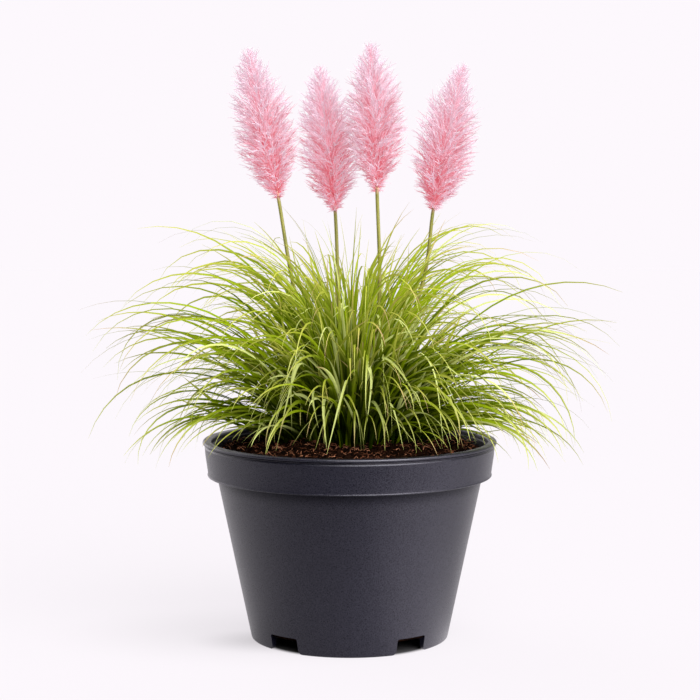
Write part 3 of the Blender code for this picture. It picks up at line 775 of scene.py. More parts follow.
def add_grain(t, group, vector, colours, fine, broad, share):
    """The mottling at a place: its colour and its height."""
    node = t.add("ShaderNodeGroup", node_tree=group)
    t.fill(node, {"Vector": vector, "Dark": colours[0], "Light": colours[1],
                  "Fine Scale": fine, "Broad Scale": broad, "Broad Share": share})
    return node.outputs["Color"], node.outputs["Height"]


def add_bump(t, shader, height, strength, distance):
    """Fine relief, by the shading only."""
    bump = t.add("ShaderNodeBump", {"Height": height, "Strength": strength, "Distance": distance})
    t.plug(shader.inputs["Normal"], bump.outputs["Normal"])


def make_translucent(mat, t, shader, tint, share):
    """Lets some light through from the far side of a thin blade or hair."""
    glow = t.add("ShaderNodeBsdfTranslucent", {"Color": tint})
    mix = t.add("ShaderNodeMixShader", {0: share, 1: shader.outputs[0], 2: glow.outputs[0]})
    t.plug(mat.node_tree.nodes["Material Output"].inputs["Surface"], mix.outputs[0])


def pot_material(grain):
    """Matt plastic with a fine grain, which also varies its shine; painted shade dims it inside and
    under the band.
    """
    mat, t, shader = new_material("pot_plastic")
    place = t.add("ShaderNodeTexCoord").outputs["Object"]
    tint, height = add_grain(t, grain, place, POT_COLOURS, fine=1300.0, broad=22.0, share=0.12)
    x, y, z = t.add("ShaderNodeSeparateXYZ", {0: place}).outputs
    out = t.math("SQRT", t.math("MULTIPLY_ADD", x, x, t.math("MULTIPLY", y, y)))
    # Painted shade: less shine inside above the soil and on the wall just under the band
    inside = t.math("MULTIPLY", t.range(out, *INSIDE_SHADE_RADII, 1.0, 0.0), t.math(
        "MULTIPLY", t.range(z, *INSIDE_SHADE_LOW), t.range(z, *INSIDE_SHADE_HIGH, 1.0, 0.0)))
    below = t.math("MULTIPLY", t.range(z, *UNDER_BAND_SHADE),
                   t.math("LESS_THAN", z, UNDER_BAND_SHADE_END))
    shine = t.math("MULTIPLY", t.range(height, 0.40, 0.60, 0.39, 0.66),
                   t.range(inside, 0.0, 1.0, 1.0, INSIDE_SHADED_SHINE))
    shine = t.math("MULTIPLY", shine,
                   t.range(below, 0.0, 1.0, 1.0, UNDER_BAND_SHADED_SHINE, smooth=False))
    t.fill(shader, {"Base Color": tint, "Roughness": t.range(height, 0.35, 0.65, 0.27, 0.40),
                    "Specular IOR Level": shine, "Specular Tint": POT_SHEEN})
    add_bump(t, shader, height, strength=0.40, distance=0.0004)
    return mat


def soil_material(grain):
    """Dark brown, dull and mottled."""
    mat, t, shader = new_material("coir_soil")
    place = t.add("ShaderNodeTexCoord").outputs["Object"]
    tint, height = add_grain(t, grain, place, SOIL_COLOURS, fine=520.0, broad=70.0, share=0.4)
    t.fill(shader, {"Base Color": tint, "Roughness": 0.92, "Specular IOR Level": 0.01})
    add_bump(t, shader, height, strength=0.8, distance=0.0012)
    return mat


def fibre_material():
    """Brown, lighter by fibre, and some much lighter than the rest."""
    mat, t, shader = new_material("coir_fibre")
    tone = attribute_value(t, "tone")
    tint = t.blend(t.range(tone, 0.25, 0.85), *FIBRE_COLOURS)
    tint = t.blend(t.range(tone, 0.74, 1.0), tint, FIBRE_LIT)
    t.fill(shader, {"Base Color": tint, "Roughness": 0.75, "Specular IOR Level": 0.02})
    return mat


def leaf_material():
    """Yellow-green, with painted shade where the leaves stand close, pale and silvery
    on chosen blades, and with a painted pale sheen where blades head downwards."""
    mat, t, shader = new_material("leaf_green")
    along, tone = attribute_value(t, "along"), attribute_value(t, "tone")
    # Green, brighter by blade and along it, and yellower at the tip
    bright = t.math("MAXIMUM", t.range(tone, 0.15, 0.85), t.range(along, 0.22, 0.75, 0.0, 0.50))
    fresh = t.blend(bright, *LEAF_COLOURS)
    tint = t.blend(t.range(along, 0.52, 1.00, 0.0, 0.95), fresh, LEAF_TIP)
    # Pale on chosen blades, and a painted silvery sheen where a blade heads downwards
    pale = t.math("MULTIPLY", attribute_value(t, "pale"), t.range(along, 0.15, 0.50))
    painted_sheen = t.range(attribute_value(t, "fall"), 0.35, 0.92, 0.0, 0.55)
    pale = t.math("MAXIMUM", pale, painted_sheen)
    tint = t.blend(pale, tint, LEAF_PALE_AND_SHEEN)
    # Dry ends, lighter undersides and veins
    dry = t.math("MULTIPLY", t.range(attribute_value(t, "dry"), 0.70, 0.95),
                 t.range(along, 0.78, 0.97))
    tint = t.blend(dry, tint, LEAF_DRY)
    under = t.range(attribute_value(t, "under"), 0.5, 0.6, 0.0, 0.10)
    tint = t.blend(under, tint, LEAF_UNDER)
    vein = t.math("SINE", t.math("MULTIPLY", attribute_value(t, "across"), 26.0))
    tint = t.blend(t.range(vein, -1.0, 1.0, 0.0, 0.08), tint, LEAF_VEIN)
    # Painted shade, dark in the crown, but less so on pale blades and those of a high tone
    place = t.add("ShaderNodeTexCoord").outputs["Object"]
    away = t.vector("MULTIPLY", t.vector("SUBTRACT", place, CROWN), CROWN_STRETCH)
    shade = t.math("MULTIPLY", t.range(t.vector("LENGTH", away), *CROWN_SHADE, 0.97, 0.0),
                   t.math("SUBTRACT", 1.0, pale))
    shade = t.math("MULTIPLY", shade, t.range(tone, 0.45, 0.95, 1.0, 0.50))
    tint = t.blend(shade, tint, LEAF_PAINTED_SHADE)
    # A glow in the same colour, from the middle of a blade to its tip
    height = t.add("ShaderNodeSeparateXYZ", {0: place}).outputs[2]
    high_glow = t.math("MULTIPLY_ADD", pale, LEAF_GLOW[0] - LEAF_GLOW[1], LEAF_GLOW[1])
    glow = t.math("MULTIPLY", t.range(along, 0.20, 0.70),
                  t.range(height, *GLOW_HEIGHTS, LEAF_GLOW[0], high_glow))
    glow = t.math("MULTIPLY", glow, t.math("SUBTRACT", 1.0, shade))
    t.fill(shader, {"Base Color": tint, "Emission Color": tint, "Emission Strength": glow,
                    "Roughness": 0.55, "Specular IOR Level": 0.004})
    make_translucent(mat, t, shader, tint, share=0.26)
    return mat


def stem_material(grain):
    """Green with long streaks, ruddy at the neck and brown at the joints."""
    mat, t, shader = new_material("stem_green")
    place = t.add("ShaderNodeTexCoord").outputs["Object"]
    streaks = t.vector("MULTIPLY", place, (1.0, 1.0, 0.04))
    tint, height = add_grain(t, grain, streaks, STEM_COLOURS, fine=900.0, broad=120.0, share=0.4)
    tint = t.blend(t.range(attribute_value(t, "along"), 0.975, 1.0), tint, STEM_NECK)
    tint = t.blend(t.math("MULTIPLY", attribute_value(t, "ring"), 0.6), tint, STEM_JOINT)
    t.fill(shader, {"Base Color": tint, "Roughness": 0.40})
    add_bump(t, shader, height, strength=0.25, distance=0.0002)
    return mat


def sheath_material():
    """Dry and brown, with streaks along it."""
    mat, t, shader = new_material("dry_sheath")
    streak = t.math("SINE", t.math("MULTIPLY", attribute_value(t, "across"), 19.0))
    tint = t.blend(t.range(streak, -1.0, 1.0), *SHEATH_COLOURS)
    t.fill(shader, {"Base Color": tint, "Roughness": 0.7, "Specular IOR Level": 0.1})
    return mat


def rachis_material():
    """Straw-coloured at the neck and pink above it."""
    mat, t, shader = new_material("plume_core")
    tint = t.blend(t.range(attribute_value(t, "along"), 0.0, 0.10), *CORE_COLOURS)
    t.fill(shader, {"Base Color": tint, "Roughness": 0.6})
    return mat


def plume_material():
    """Rose inside and low down, the inside partly as painted shade, paler outside, at the top and on
    some hairs.
    The faint glow is light that the hairs pass on to each other."""
    mat, t, shader = new_material("plume_pink")
    along, hair = attribute_value(t, "along"), attribute_value(t, "hair")
    shade, height = attribute_value(t, "shade"), attribute_value(t, "height")
    # Deeper rose towards the axis: partly the plume's own colour and partly painted shade
    outer = t.math("MULTIPLY_ADD", hair, 0.25, along)
    low = t.blend(t.range(outer, 0.40, 1.20), *PLUME_LOW)
    top = t.blend(t.range(outer, 0.15, 1.05), *PLUME_TOP)
    tint = t.blend(t.range(height, 0.20, 0.95), low, top)
    pale = t.blend(t.range(outer, 0.40, 1.00), *PLUME_PALE)
    tint = t.blend(t.range(shade, 0.53, 0.63, 0.0, 0.95), tint, pale)
    deep = t.math("MULTIPLY", t.range(shade, 0.41, 0.14), t.range(height, 0.50, 0.95, 0.74, 0.25))
    tint = t.blend(deep, tint, PLUME_DEEP)
    lit = t.blend(1.0, tint, PLUME_LIT, "MULTIPLY")
    glow = t.blend(1.0, tint, PLUME_GLOW, "MULTIPLY")
    t.fill(shader, {"Base Color": lit, "Roughness": 0.60, "Specular IOR Level": 0.10,
                    "Emission Color": glow,
                    "Emission Strength": t.range(outer, 0.30, 1.15, 0.90, 0.65)})
    make_translucent(mat, t, shader, lit, share=0.45)
    return mat


# Pot


def wall_radius(z):
    """Outer radius of the pot's wall at a height."""
    return FOOT_RADIUS + WALL_SLOPE * z


def arc(centre, radius, start, end, steps):
    """Points (radius, height) on an arc, in degrees."""
    points = []
    for i in range(steps + 1):
        turn = math.radians(start + (end - start) * i / steps)
        points.append((centre[0] + radius * math.cos(turn), centre[1] + radius * math.sin(turn)))
    return points


def pot_profile():
    """Radius and height round the wall's section, from axis to axis."""
    under_floor = POT_FLOOR_Z - POT_FLOOR_THICKNESS
    foot_outer = wall_radius(FOOT_ROUND) - 0.0001
    foot_inner = FOOT_RADIUS - FOOT_ROUND - FOOT_FLAT
    gap_z = BAND_GAP_TOP_Z - GAP_ROUND
    band_inner = BAND_BOTTOM_RADIUS - WALL
    # Underside and foot
    profile = [(0.0, under_floor), (foot_inner - 0.0010, under_floor)]
    profile += arc((foot_inner + FOOT_INNER_ROUND, FOOT_INNER_ROUND), FOOT_INNER_ROUND,
                   180, 270, 3)
    profile += arc((foot_outer - FOOT_ROUND, FOOT_ROUND), FOOT_ROUND, 270, 350, 5)
    # Wall, and round the top of the gap behind the band
    profile += [(wall_radius(z), z) for z in np.linspace(0.0040, gap_z, 12)]
    profile += arc((wall_radius(BAND_GAP_TOP_Z) + GAP_ROUND, gap_z), GAP_ROUND, 168, 90, 3)
    # Band: down its inside and round its lower edge
    profile += [(BAND_TOP_RADIUS - WALL, BAND_GAP_TOP_Z), (band_inner, BAND_BOTTOM_Z + 0.0006)]
    profile += arc((band_inner + BAND_INNER_ROUND, BAND_BOTTOM_Z + BAND_INNER_ROUND),
                   BAND_INNER_ROUND, 190, 270, 3)
    profile += arc((BAND_BOTTOM_RADIUS - 0.0004, BAND_BOTTOM_Z + BAND_BEAD), BAND_BEAD,
                   270, 415, 10)
    # Its face and the groove under the lip, with a fine bead in it
    profile += [*BAND_FACE, *GROOVE]
    profile += arc(LIP_BEAD_CENTRE, LIP_BEAD, -60, 60, 5)
    # Lip: its roll, its flat top and the ledge inside
    profile += [GROOVE_TOP] + arc((LIP_RADIUS - LIP_ROLL, LIP_ROLL_Z), LIP_ROLL, -30, 92, 10)
    profile += LIP_TOP
    profile += arc((LIP_TOP[1][0], LIP_TOP[1][1] - LEDGE_ROUND), LEDGE_ROUND, 90, 170, 4)
    profile += [LEDGE, (wall_radius(POT_HEIGHT) - LEDGE_WIDTH, LEDGE_INNER_Z)]
    # Inside of the wall and the floor
    profile += [(wall_radius(z) - WALL, z) for z in (0.19, 0.05, POT_FLOOR_Z)]
    profile += [(0.0, POT_FLOOR_Z)]
    return profile


def turn_profile(profile, sides):
    """A closed solid of revolution whose profile ends on the axis."""
    mesh_data = bmesh.new()
    rings = []
    for radius, z in profile:
        if radius == 0.0:
            rings.append([mesh_data.verts.new((0.0, 0.0, z))])
            continue
        rings.append([mesh_data.verts.new((radius * math.cos(math.tau * i / sides),
                                           radius * math.sin(math.tau * i / sides), z))
                      for i in range(sides)])
    for lower, upper in zip(rings, rings[1:]):
        for i in range(sides):
            j = (i + 1) % sides
            if len(lower) == 1:
                mesh_data.faces.new((lower[0], upper[j], upper[i]))
            elif len(upper) == 1:
                mesh_data.faces.new((lower[i], lower[j], upper[0]))
            else:
                mesh_data.faces.new((lower[i], lower[j], upper[j], upper[i]))
    return mesh_data


def notch_outline():
    """A drain notch seen from outside: round feet and slightly round top."""
    half = NOTCH_WIDTH / 2
    right = arc((half + NOTCH_CORNER, NOTCH_CORNER), NOTCH_CORNER, 270, 180, 5)
    right += arc((half - NOTCH_TOP_CORNER, NOTCH_HEIGHT - NOTCH_TOP_CORNER), NOTCH_TOP_CORNER,
                 0, 90, 4)
    right = [(half + NOTCH_CORNER, -NOTCH_BELOW)] + right
    return right + [(-x, z) for x, z in reversed(right)]


def notch_cutter():
    """Prisms that take the drain notches out of the foot."""
    mesh_data = bmesh.new()
    outline = notch_outline()
    for angle in NOTCH_ANGLES:
        aim = math.radians(angle)
        out = Vector((math.sin(aim), -math.cos(aim), 0.0))
        across = Vector((math.cos(aim), math.sin(aim), 0.0))
        ends = []
        for reach in (FOOT_RADIUS - NOTCH_REACH, FOOT_RADIUS + NOTCH_REACH):
            ends.append([mesh_data.verts.new(out * reach + across * x + Vector((0.0, 0.0, z)))
                         for x, z in outline])
        for i in range(len(outline)):
            j = (i + 1) % len(outline)
            mesh_data.faces.new((ends[0][i], ends[0][j], ends[1][j], ends[1][i]))
        mesh_data.faces.new(ends[0])
        mesh_data.faces.new(ends[1])
    return add_piece("notch_cutter", mesh_data)


def add_piece(name, mesh_data, mat=None):
    """An object with the mesh, its faces turned outwards."""
    bmesh.ops.recalc_face_normals(mesh_data, faces=mesh_data.faces[:])
    mesh = bpy.data.meshes.new(name)
    mesh_data.to_mesh(mesh)
    mesh_data.free()
    piece = bpy.data.objects.new(name, mesh)
    bpy.context.scene.collection.objects.link(piece)
    if mat is not None:
        mesh.materials.append(mat)
    return piece


def apply_modifiers(piece):
    """Keeps what a piece's modifiers make of its mesh."""
    graph = bpy.context.evaluated_depsgraph_get()
    result = bpy.data.meshes.new_from_object(piece.evaluated_get(graph))
    piece.modifiers.clear()
    piece.data = result


def make_pot(mat):
    """The pot, turned from its section and notched at the foot."""
    pot = add_piece("pot", turn_profile(pot_profile(), POT_SIDES), mat)
    cutter = notch_cutter()
    cut = pot.modifiers.new("notches", "BOOLEAN")
    cut.operation = "DIFFERENCE"
    cut.solver = "EXACT"
    cut.object = cutter
    apply_modifiers(pot)
    bpy.data.objects.remove(cutter, do_unlink=True)
    pot.data.shade_smooth()
    pot.data.set_sharp_from_angle(angle=math.radians(POT_CREASE))
    return pot


# Soil


def soil_height(x, y):
    """Height of the mound with its broad lumps, which are waves of unlike length."""
    share = np.hypot(x, y) / wall_radius(SOIL_TOP)
    along_x, along_y, diagonal = LUMP_WAVES
    lump = (np.sin(along_x * x + 1.3) * np.cos(along_y * y - 0.4)
            + 0.6 * np.sin(diagonal * (x - y)))
    return SOIL_TOP - SOIL_FALL * share ** 2 + SOIL_LUMP * lump * np.minimum(1.0, 2.0 * share)


def soil_roughness(x, y):
    """Small lumps and pits, from waves of unlike direction and length."""
    rng = np.random.default_rng(SOIL_SEED)
    total = np.zeros_like(x)
    for length, size in SOIL_WAVES:
        for _ in range(WAVES_OF_A_LENGTH):
            aim, phase = rng.uniform(0, math.tau, 2)
            wave = np.sin((x * math.cos(aim) + y * math.sin(aim)) * math.tau / length + phase
                          + WAVE_BEND[0] * np.sin(y * WAVE_BEND[1] + phase))
            total += (2.0 * np.abs(wave) - 1.2) * size * WAVE_SHARE
    return total


def make_soil_mound(mat):
    """A plug that fills the pot, with a finely lumped top."""
    edge = wall_radius(SOIL_EDGE_Z) - WALL - SOIL_GAPS[0]
    turns = np.arange(SOIL_SIDES) * math.tau / SOIL_SIDES
    mesh_data = bmesh.new()
    middle = mesh_data.verts.new((0.0, 0.0, float(soil_height(0.0, 0.0))))
    loops = []
    for share in np.arange(1, SOIL_RINGS + 1) / SOIL_RINGS:
        x, y = edge * share * np.cos(turns), edge * share * np.sin(turns)
        calm = min(1.0, (1.0 - share) * 12.0)
        z = soil_height(x, y) + soil_roughness(x, y) * calm
        loops.append([mesh_data.verts.new(spot) for spot in zip(x, y, z)])
    bottom = POT_FLOOR_Z + SOIL_GAPS[1]
    foot = wall_radius(bottom) - WALL - SOIL_GAPS[1]
    loops.append([mesh_data.verts.new((foot * math.cos(turn), foot * math.sin(turn), bottom))
                  for turn in turns])
    for i in range(SOIL_SIDES):
        mesh_data.faces.new((middle, loops[0][i], loops[0][(i + 1) % SOIL_SIDES]))
    for lower, upper in zip(loops, loops[1:]):
        for i in range(SOIL_SIDES):
            j = (i + 1) % SOIL_SIDES
            mesh_data.faces.new((lower[i], upper[i], upper[j], lower[j]))
    mesh_data.faces.new(loops[-1])
    mound = add_piece("soil_mound", mesh_data, mat)
    mound.data.shade_smooth()
    mound.data.set_sharp_from_angle(angle=math.radians(SOIL_CREASE))
    return mound


def level_headings(turns):
    """Unit vectors at angles about the vertical."""
    return np.stack((np.cos(turns), np.sin(turns), np.zeros(len(turns))), axis=1)


def still_strands(count, rng):
    """Growth attributes of straight strands, each with a tone of its own."""
    values = {key: np.zeros(count) for key in ("lean", "tip", "sway", "wave", "twist", "roll")}
    values["bend"] = np.ones(count)
    values["tone"] = rng.random(count)
    return values


def make_soil_litter(tree, mat):
    """Curly coir fibres and crumbs, strewn over the mound."""
    rng = np.random.default_rng(SOIL_SEED + 1)
    count = FIBRES + CRUMBS
    values = still_strands(count, rng)
    radius = LITTER_RADIUS * np.sqrt(rng.random(count))
    place = rng.uniform(0, math.tau, count)
    x, y = radius * np.cos(place), radius * np.sin(place)
    z = soil_height(x, y) + soil_roughness(x, y)
    crumb = np.arange(count) >= FIBRES
    aim = rng.uniform(0, math.tau, count)
    lean = np.radians(rng.uniform(*FIBRE_LEAN, count))
    room = np.clip((LITTER_EDGE[0] - radius) / LITTER_EDGE[1], 0.25, 1.0)
    values.update(
        root=np.stack((x, y, z - LITTER_DEPTH), axis=1), forward=level_headings(aim),
        rise=np.tile(UPWARDS, (count, 1)), lean=lean, tip=-lean * rng.uniform(*FIBRE_TIP, count),
        sway=rng.normal(*FIBRE_SWAY, count), wave=rng.uniform(*FIBRE_WAVE, count),
        length=rng.uniform(*FIBRE_LENGTH, count) * room,
        width=np.where(crumb, CRUMB_SIZE[0] + CRUMB_SIZE[1] * rng.random(count) ** 2,
                       rng.uniform(*FIBRE_WIDTH, count)),
        tone=np.where(crumb, values["tone"] * DIM_TONE, values["tone"]),
        crumb=crumb.astype(float))
    return evaluate("soil_litter", point_mesh("soil_litter", values), tree,
                    Segments=FIBRE_SEGMENTS, Material=mat)


# Flowers


def smooth_curve(knots, steps):
    """Points on a curve that passes through every knot."""
    knots = [np.array(knot) for knot in knots]
    ends = [2 * knots[0] - knots[1]] + knots + [2 * knots[-1] - knots[-2]]
    points = []
    for k in range(1, len(knots)):
        before, start, end, after = ends[k - 1:k + 3]
        for i in range(steps):
            t = i / steps
            points.append(0.5 * (2 * start + (end - before) * t
                                 + (2 * before - 5 * start + 4 * end - after) * t ** 2
                                 + (3 * start - before - 3 * end + after) * t ** 3))
    points.append(knots[-1])
    return np.array(points)


def path_edges(count, start=0):
    """Edges that join a number of points in a row."""
    return [(i, i + 1) for i in range(start, start + count - 1)]


def along_line(line, shares):
    """Places at shares of the way along a line of points."""
    spots = np.clip(shares, 0.0, 1.0) * (len(line) - 1)
    return np.stack([np.interp(spots, np.arange(len(line)), line[:, k]) for k in range(3)], axis=1)


def make_stem(name, line, tree, mat):
    """A stem planted in the soil, a little thicker at its joints."""
    heading = line[1] - line[0]
    heading = heading / np.linalg.norm(heading)
    root = np.array((line[0][0], line[0][1], float(soil_height(line[0][0], line[0][1]))))
    path = np.vstack((root - heading * STEM_DEPTH, line[2:]))
    share = np.linspace(0.0, 1.0, len(path))
    radius = STEM_RADIUS * (1.0 - STEM_TAPER * share)
    ring = np.zeros(len(path))
    for joint in STEM_JOINTS:
        ring = np.maximum(ring, np.exp(-((share - joint) / JOINT_LENGTH) ** 2))
    values = dict(root=path, radius=radius * (1.0 + JOINT_SWELL * ring), ring=ring)
    return evaluate(name, point_mesh(name, values, path_edges(len(path))), tree,
                    Sides=STEM_SIDES, Material=mat)


def make_sheath(name, line, tree, mat):
    """A dry leaf base that still clings to the front of a stem."""
    heights = np.linspace(*SHEATH_HEIGHTS, 12)
    path = np.stack([np.interp(heights, line[:, 2], line[:, k]) for k in range(3)], axis=1)
    path = path + SHEATH_OFFSET
    even = np.ones(len(path))
    values = dict(root=path, facing=np.tile((1.0, 0.0, 0.0), (len(path), 1)),
                  along=np.linspace(0.0, 1.0, len(path)), width=even * SHEATH_WIDTH,
                  taper=even * 3.0)
    return evaluate(name, point_mesh(name, values, path_edges(len(path))), tree,
                    Keel=SHEATH_KEEL, Thickness=SHEATH_THICKNESS, Material=mat)


def make_rachis(name, line, tree, mat):
    """The stem's thin end, which runs up inside the plume."""
    share = np.linspace(0.0, CORE_REACH, 30)
    path = along_line(line, share)
    values = dict(root=path, radius=np.interp(share, *np.transpose(CORE_FORM)))
    return evaluate(name, point_mesh(name, values, path_edges(len(path))), tree,
                    Sides=CORE_SIDES, Material=mat)


def make_plume(name, line, seed, tree, mat):
    """Branches from the plume's axis to its outline, and the hairs on them."""
    rng = np.random.default_rng(seed)
    axis = line[-1] - line[0]
    height = np.linalg.norm(axis)
    axis = axis / height
    count = PLUME_BRANCHES
    form, slope = np.transpose(PLUME_FORM), np.transpose(PLUME_SLOPE)
    levels = np.linspace(*PLUME_LEVELS, 400)
    weight = np.interp(levels, *form) + PLUME_FILL
    chance = np.cumsum(weight) / weight.sum()
    # Where each branch ends, and how far from the axis
    high = np.interp((np.arange(count) + rng.random(count)) / count, chance, levels)
    radius = np.interp(high, *form)
    radius = radius * (BRANCH_REACH[0] - BRANCH_REACH[1] * rng.random(count) ** 1.6)
    # How it slopes against the axis, at least so much that it starts within the plume
    steep = np.radians(np.interp(high, *slope)) * rng.uniform(*BRANCH_STEEP, count)
    room = np.maximum(high * height - 0.001, 0.0015)
    steep = np.maximum(steep, np.arctan2(radius, room))
    low = np.clip(high - radius / np.tan(steep) / height, 0.0, 1.0)
    turn = np.arange(count) * GOLDEN_ANGLE + rng.normal(*BRANCH_TURN, count)
    side = np.cross(axis, (0.0, 1.0, 0.0))
    side = side / np.linalg.norm(side)
    front = np.cross(axis, side)
    out = np.cos(turn)[:, None] * side + np.sin(turn)[:, None] * front
    values = still_strands(count, rng)
    values.update(
        root=along_line(line, low), forward=out, rise=np.tile(axis, (count, 1)),
        lean=math.pi / 2 - steep * BRANCH_BOW[0], tip=math.pi / 2 - steep * BRANCH_BOW[1],
        length=radius / np.sin(steep), wave=rng.uniform(*BRANCH_WAVE, count),
        sway=rng.normal(*BRANCH_SWAY, count), low=low, high=high, strand=rng.random(count),
        reach=np.interp(high, *np.transpose(HAIR_REACH)))
    return evaluate(name, point_mesh(name, values), tree, Segments=BRANCH_SEGMENTS,
                    Hairs=BRANCH_HAIRS, Material=mat)


# Leaves


def blend_pair(pair, side_share):
    """The value between that to the side and that to the front or back."""
    return pair[0] * side_share + pair[1] * (1.0 - side_share)


def shoots_of(tier):
    """Place and bend of every shoot in a tier."""
    shoots = []
    for i in range(tier["count"]):
        azimuth = math.radians(tier["phase"] + 360.0 * i / tier["count"])
        side_share = math.cos(azimuth) ** 2
        shoot = {key: blend_pair(tier[key], side_share)
                 for key in ("root", "lean", "tip", "length", "bend", "blades")}
        shoot.update(azimuth=azimuth, spread=tier["spread"], inner=tier["inner"],
                     inner_length=tier["inner_length"], width=tier["width"])
        shoots.append(shoot)
    return shoots


def room_of(values, steps=12):
    """How far each blade stays above the pot's rim, or above where tips may
    hang beside it, and inside the dome; negative where it goes too far."""
    spot = values["root"].copy()
    length, room = values["length"], np.full(len(spot), 1.0)
    side = np.cross(values["rise"], values["forward"])
    for i in range(steps):
        share = (i + 0.5) / steps
        slope = values["lean"] + (values["tip"] - values["lean"]) * share ** values["bend"]
        turn = (values["sway"] * share)[:, None]
        ahead = values["forward"] * np.cos(turn) + side * np.sin(turn)
        flat = (length / steps * np.cos(slope))[:, None] * ahead
        spot = spot + flat + (length / steps * np.sin(slope))[:, None] * values["rise"]
        room = np.minimum(room, 1.0 - np.hypot(spot[:, 0] / DOME[0], spot[:, 1] / DOME[1]))
        radius = np.hypot(spot[:, 0], spot[:, 1])
        beside = np.abs(spot[:, 0]) / np.maximum(radius, 1e-6)
        beside = np.clip((beside - SIDE_SHARES[0]) / (SIDE_SHARES[1] - SIDE_SHARES[0]), 0.0, 1.0)
        hang = RIM_CLEAR - (RIM_CLEAR - SIDE_DROOP) * beside
        over_rim = RIM_CLEAR + RIM_MORE * beside
        limit = np.where(radius < RIM_RADII[1], over_rim, hang)
        limit = np.where(radius < RIM_RADII[0], RIM_CLEAR, limit)
        if share > LIMITS_FROM:
            room = np.minimum(room, spot[:, 2] - limit)
    return room


def keep_clear(values):
    """Lifts the tips of blades that would cut into the pot, hang before it or
    leave the dome."""
    for _ in range(LIFT_ROUNDS):
        low = room_of(values) < 0.0
        values["tip"] = np.where(low, values["tip"] + math.radians(LIFT_TURN), values["tip"])
        values["length"] = np.where(low, values["length"] * LIFT_SHARE, values["length"])
    return values


def blades_of(shoot, rng):
    """Growth attributes of the blades that stand in for one shoot's leaves:
    arching ones, then short upright ones that fill the crown."""
    arching, inner = round(shoot["blades"]), shoot["inner"]
    count = arching + inner
    is_inner = np.arange(count) >= arching
    values = still_strands(count, rng)
    azimuth = shoot["azimuth"] + np.radians(shoot["spread"]) * rng.uniform(-1.0, 1.0, count)
    stray = ((rng.random(count) < STRAY_SHARES[0])
             | (is_inner & (rng.random(count) < STRAY_SHARES[1])))
    azimuth = np.where(stray, azimuth + rng.normal(*STRAY_TURN, count), azimuth)
    root_turn = shoot["azimuth"] + rng.normal(*ROOT_TURN, count)
    root_radius = np.clip(shoot["root"] + rng.normal(*ROOT_SHIFT, count), *ROOT_RADII)
    x, y = root_radius * np.cos(root_turn), root_radius * np.sin(root_turn)
    length = shoot["length"] * (BLADE_LENGTH[0] - BLADE_LENGTH[1] * rng.random(count) ** 1.5)
    values.update(
        root=np.stack((x, y, soil_height(x, y) - PLANT_DEPTH), axis=1),
        forward=level_headings(azimuth), rise=np.tile(UPWARDS, (count, 1)),
        lean=np.radians(np.minimum(shoot["lean"] + rng.normal(*BLADE_LEAN, count), STEEPEST)),
        tip=np.radians(shoot["tip"] + rng.normal(*BLADE_TIP, count)),
        length=np.where(stray, length * STRAY_LENGTH, length),
        bend=shoot["bend"] * rng.uniform(*BLADE_BEND, count),
        sway=rng.normal(*BLADE_SWAY, count), wave=rng.uniform(*BLADE_WAVE, count),
        twist=rng.normal(*BLADE_TWIST, count), roll=rng.normal(*BLADE_ROLL, count),
        dry=rng.random(count), pale=(rng.random(count) < PALE_BLADES).astype(float),
        width=rng.uniform(*BLADE_WIDTH, count), taper=rng.uniform(*BLADE_TAPER, count))
    short = dict(lean=np.radians(rng.normal(*INNER_LEAN, count)),
                 tip=np.radians(rng.normal(*INNER_TIP, count)),
                 length=rng.uniform(*shoot["inner_length"], count),
                 width=rng.uniform(*INNER_WIDTH, count), tone=values["tone"] * DIM_TONE)
    for key, array in short.items():
        values[key] = np.where(is_inner, array, values[key])
    values["width"] = values["width"] * shoot["width"]
    return keep_clear(values)


def arch_line(blade):
    """A blade's way out of the crown, over its top and down to its tip."""
    top, fall, tip, reach, *_ = blade
    knots = [np.array((x, -reach * share, z)) * 0.001
             for (x, z), share in zip((top, fall, tip), ARCH_REACH)]
    root = np.array((knots[0][0] * ARCH_ROOT[0], ARCH_ROOT[1], 0.0))
    root[2] = soil_height(root[0], root[1]) - PLANT_DEPTH
    shoulder = root + (knots[0] - root) * ARCH_SHOULDER
    return smooth_curve([root, shoulder] + knots, BLADE_STEPS)


def make_front_blades(tree, mat):
    """Blades drawn along given arches, one piece for each tuft that has some."""
    pieces = []
    for number, blades in FRONT_BLADES.items():
        parts, edges, size = [], [], 4 * BLADE_STEPS + 1
        for k, blade in enumerate(blades):
            line = arch_line(blade)
            out = (line[-1] - line[0]) * (1.0, 1.0, 0.0)
            out = out / np.linalg.norm(out)
            twist = 0.5 * np.sin(np.linspace(0.0, 3.0, size) + 2.0 * k)
            facing = np.stack((-out[1] * np.cos(twist), out[0] * np.cos(twist), np.sin(twist)),
                              axis=1)
            even = np.ones(size)
            parts.append(dict(root=line, facing=facing, along=np.linspace(0.0, 1.0, size),
                              width=even * blade[4] * 0.001, pale=even * blade[5],
                              taper=even * 2.2, tone=even * (0.35 + 0.13 * (k % 5)),
                              dry=even * 0.0))
            edges += path_edges(size, k * size)
        values = {key: np.concatenate([part[key] for part in parts]) for key in parts[0]}
        name = f"leaf_tuft_{number:02d}"
        piece = evaluate(name + "_front", point_mesh(name, values, edges), tree,
                         Keel=LEAF_KEEL, Thickness=LEAF_THICKNESS, Material=mat)
        pieces.append((piece, name))
    return pieces


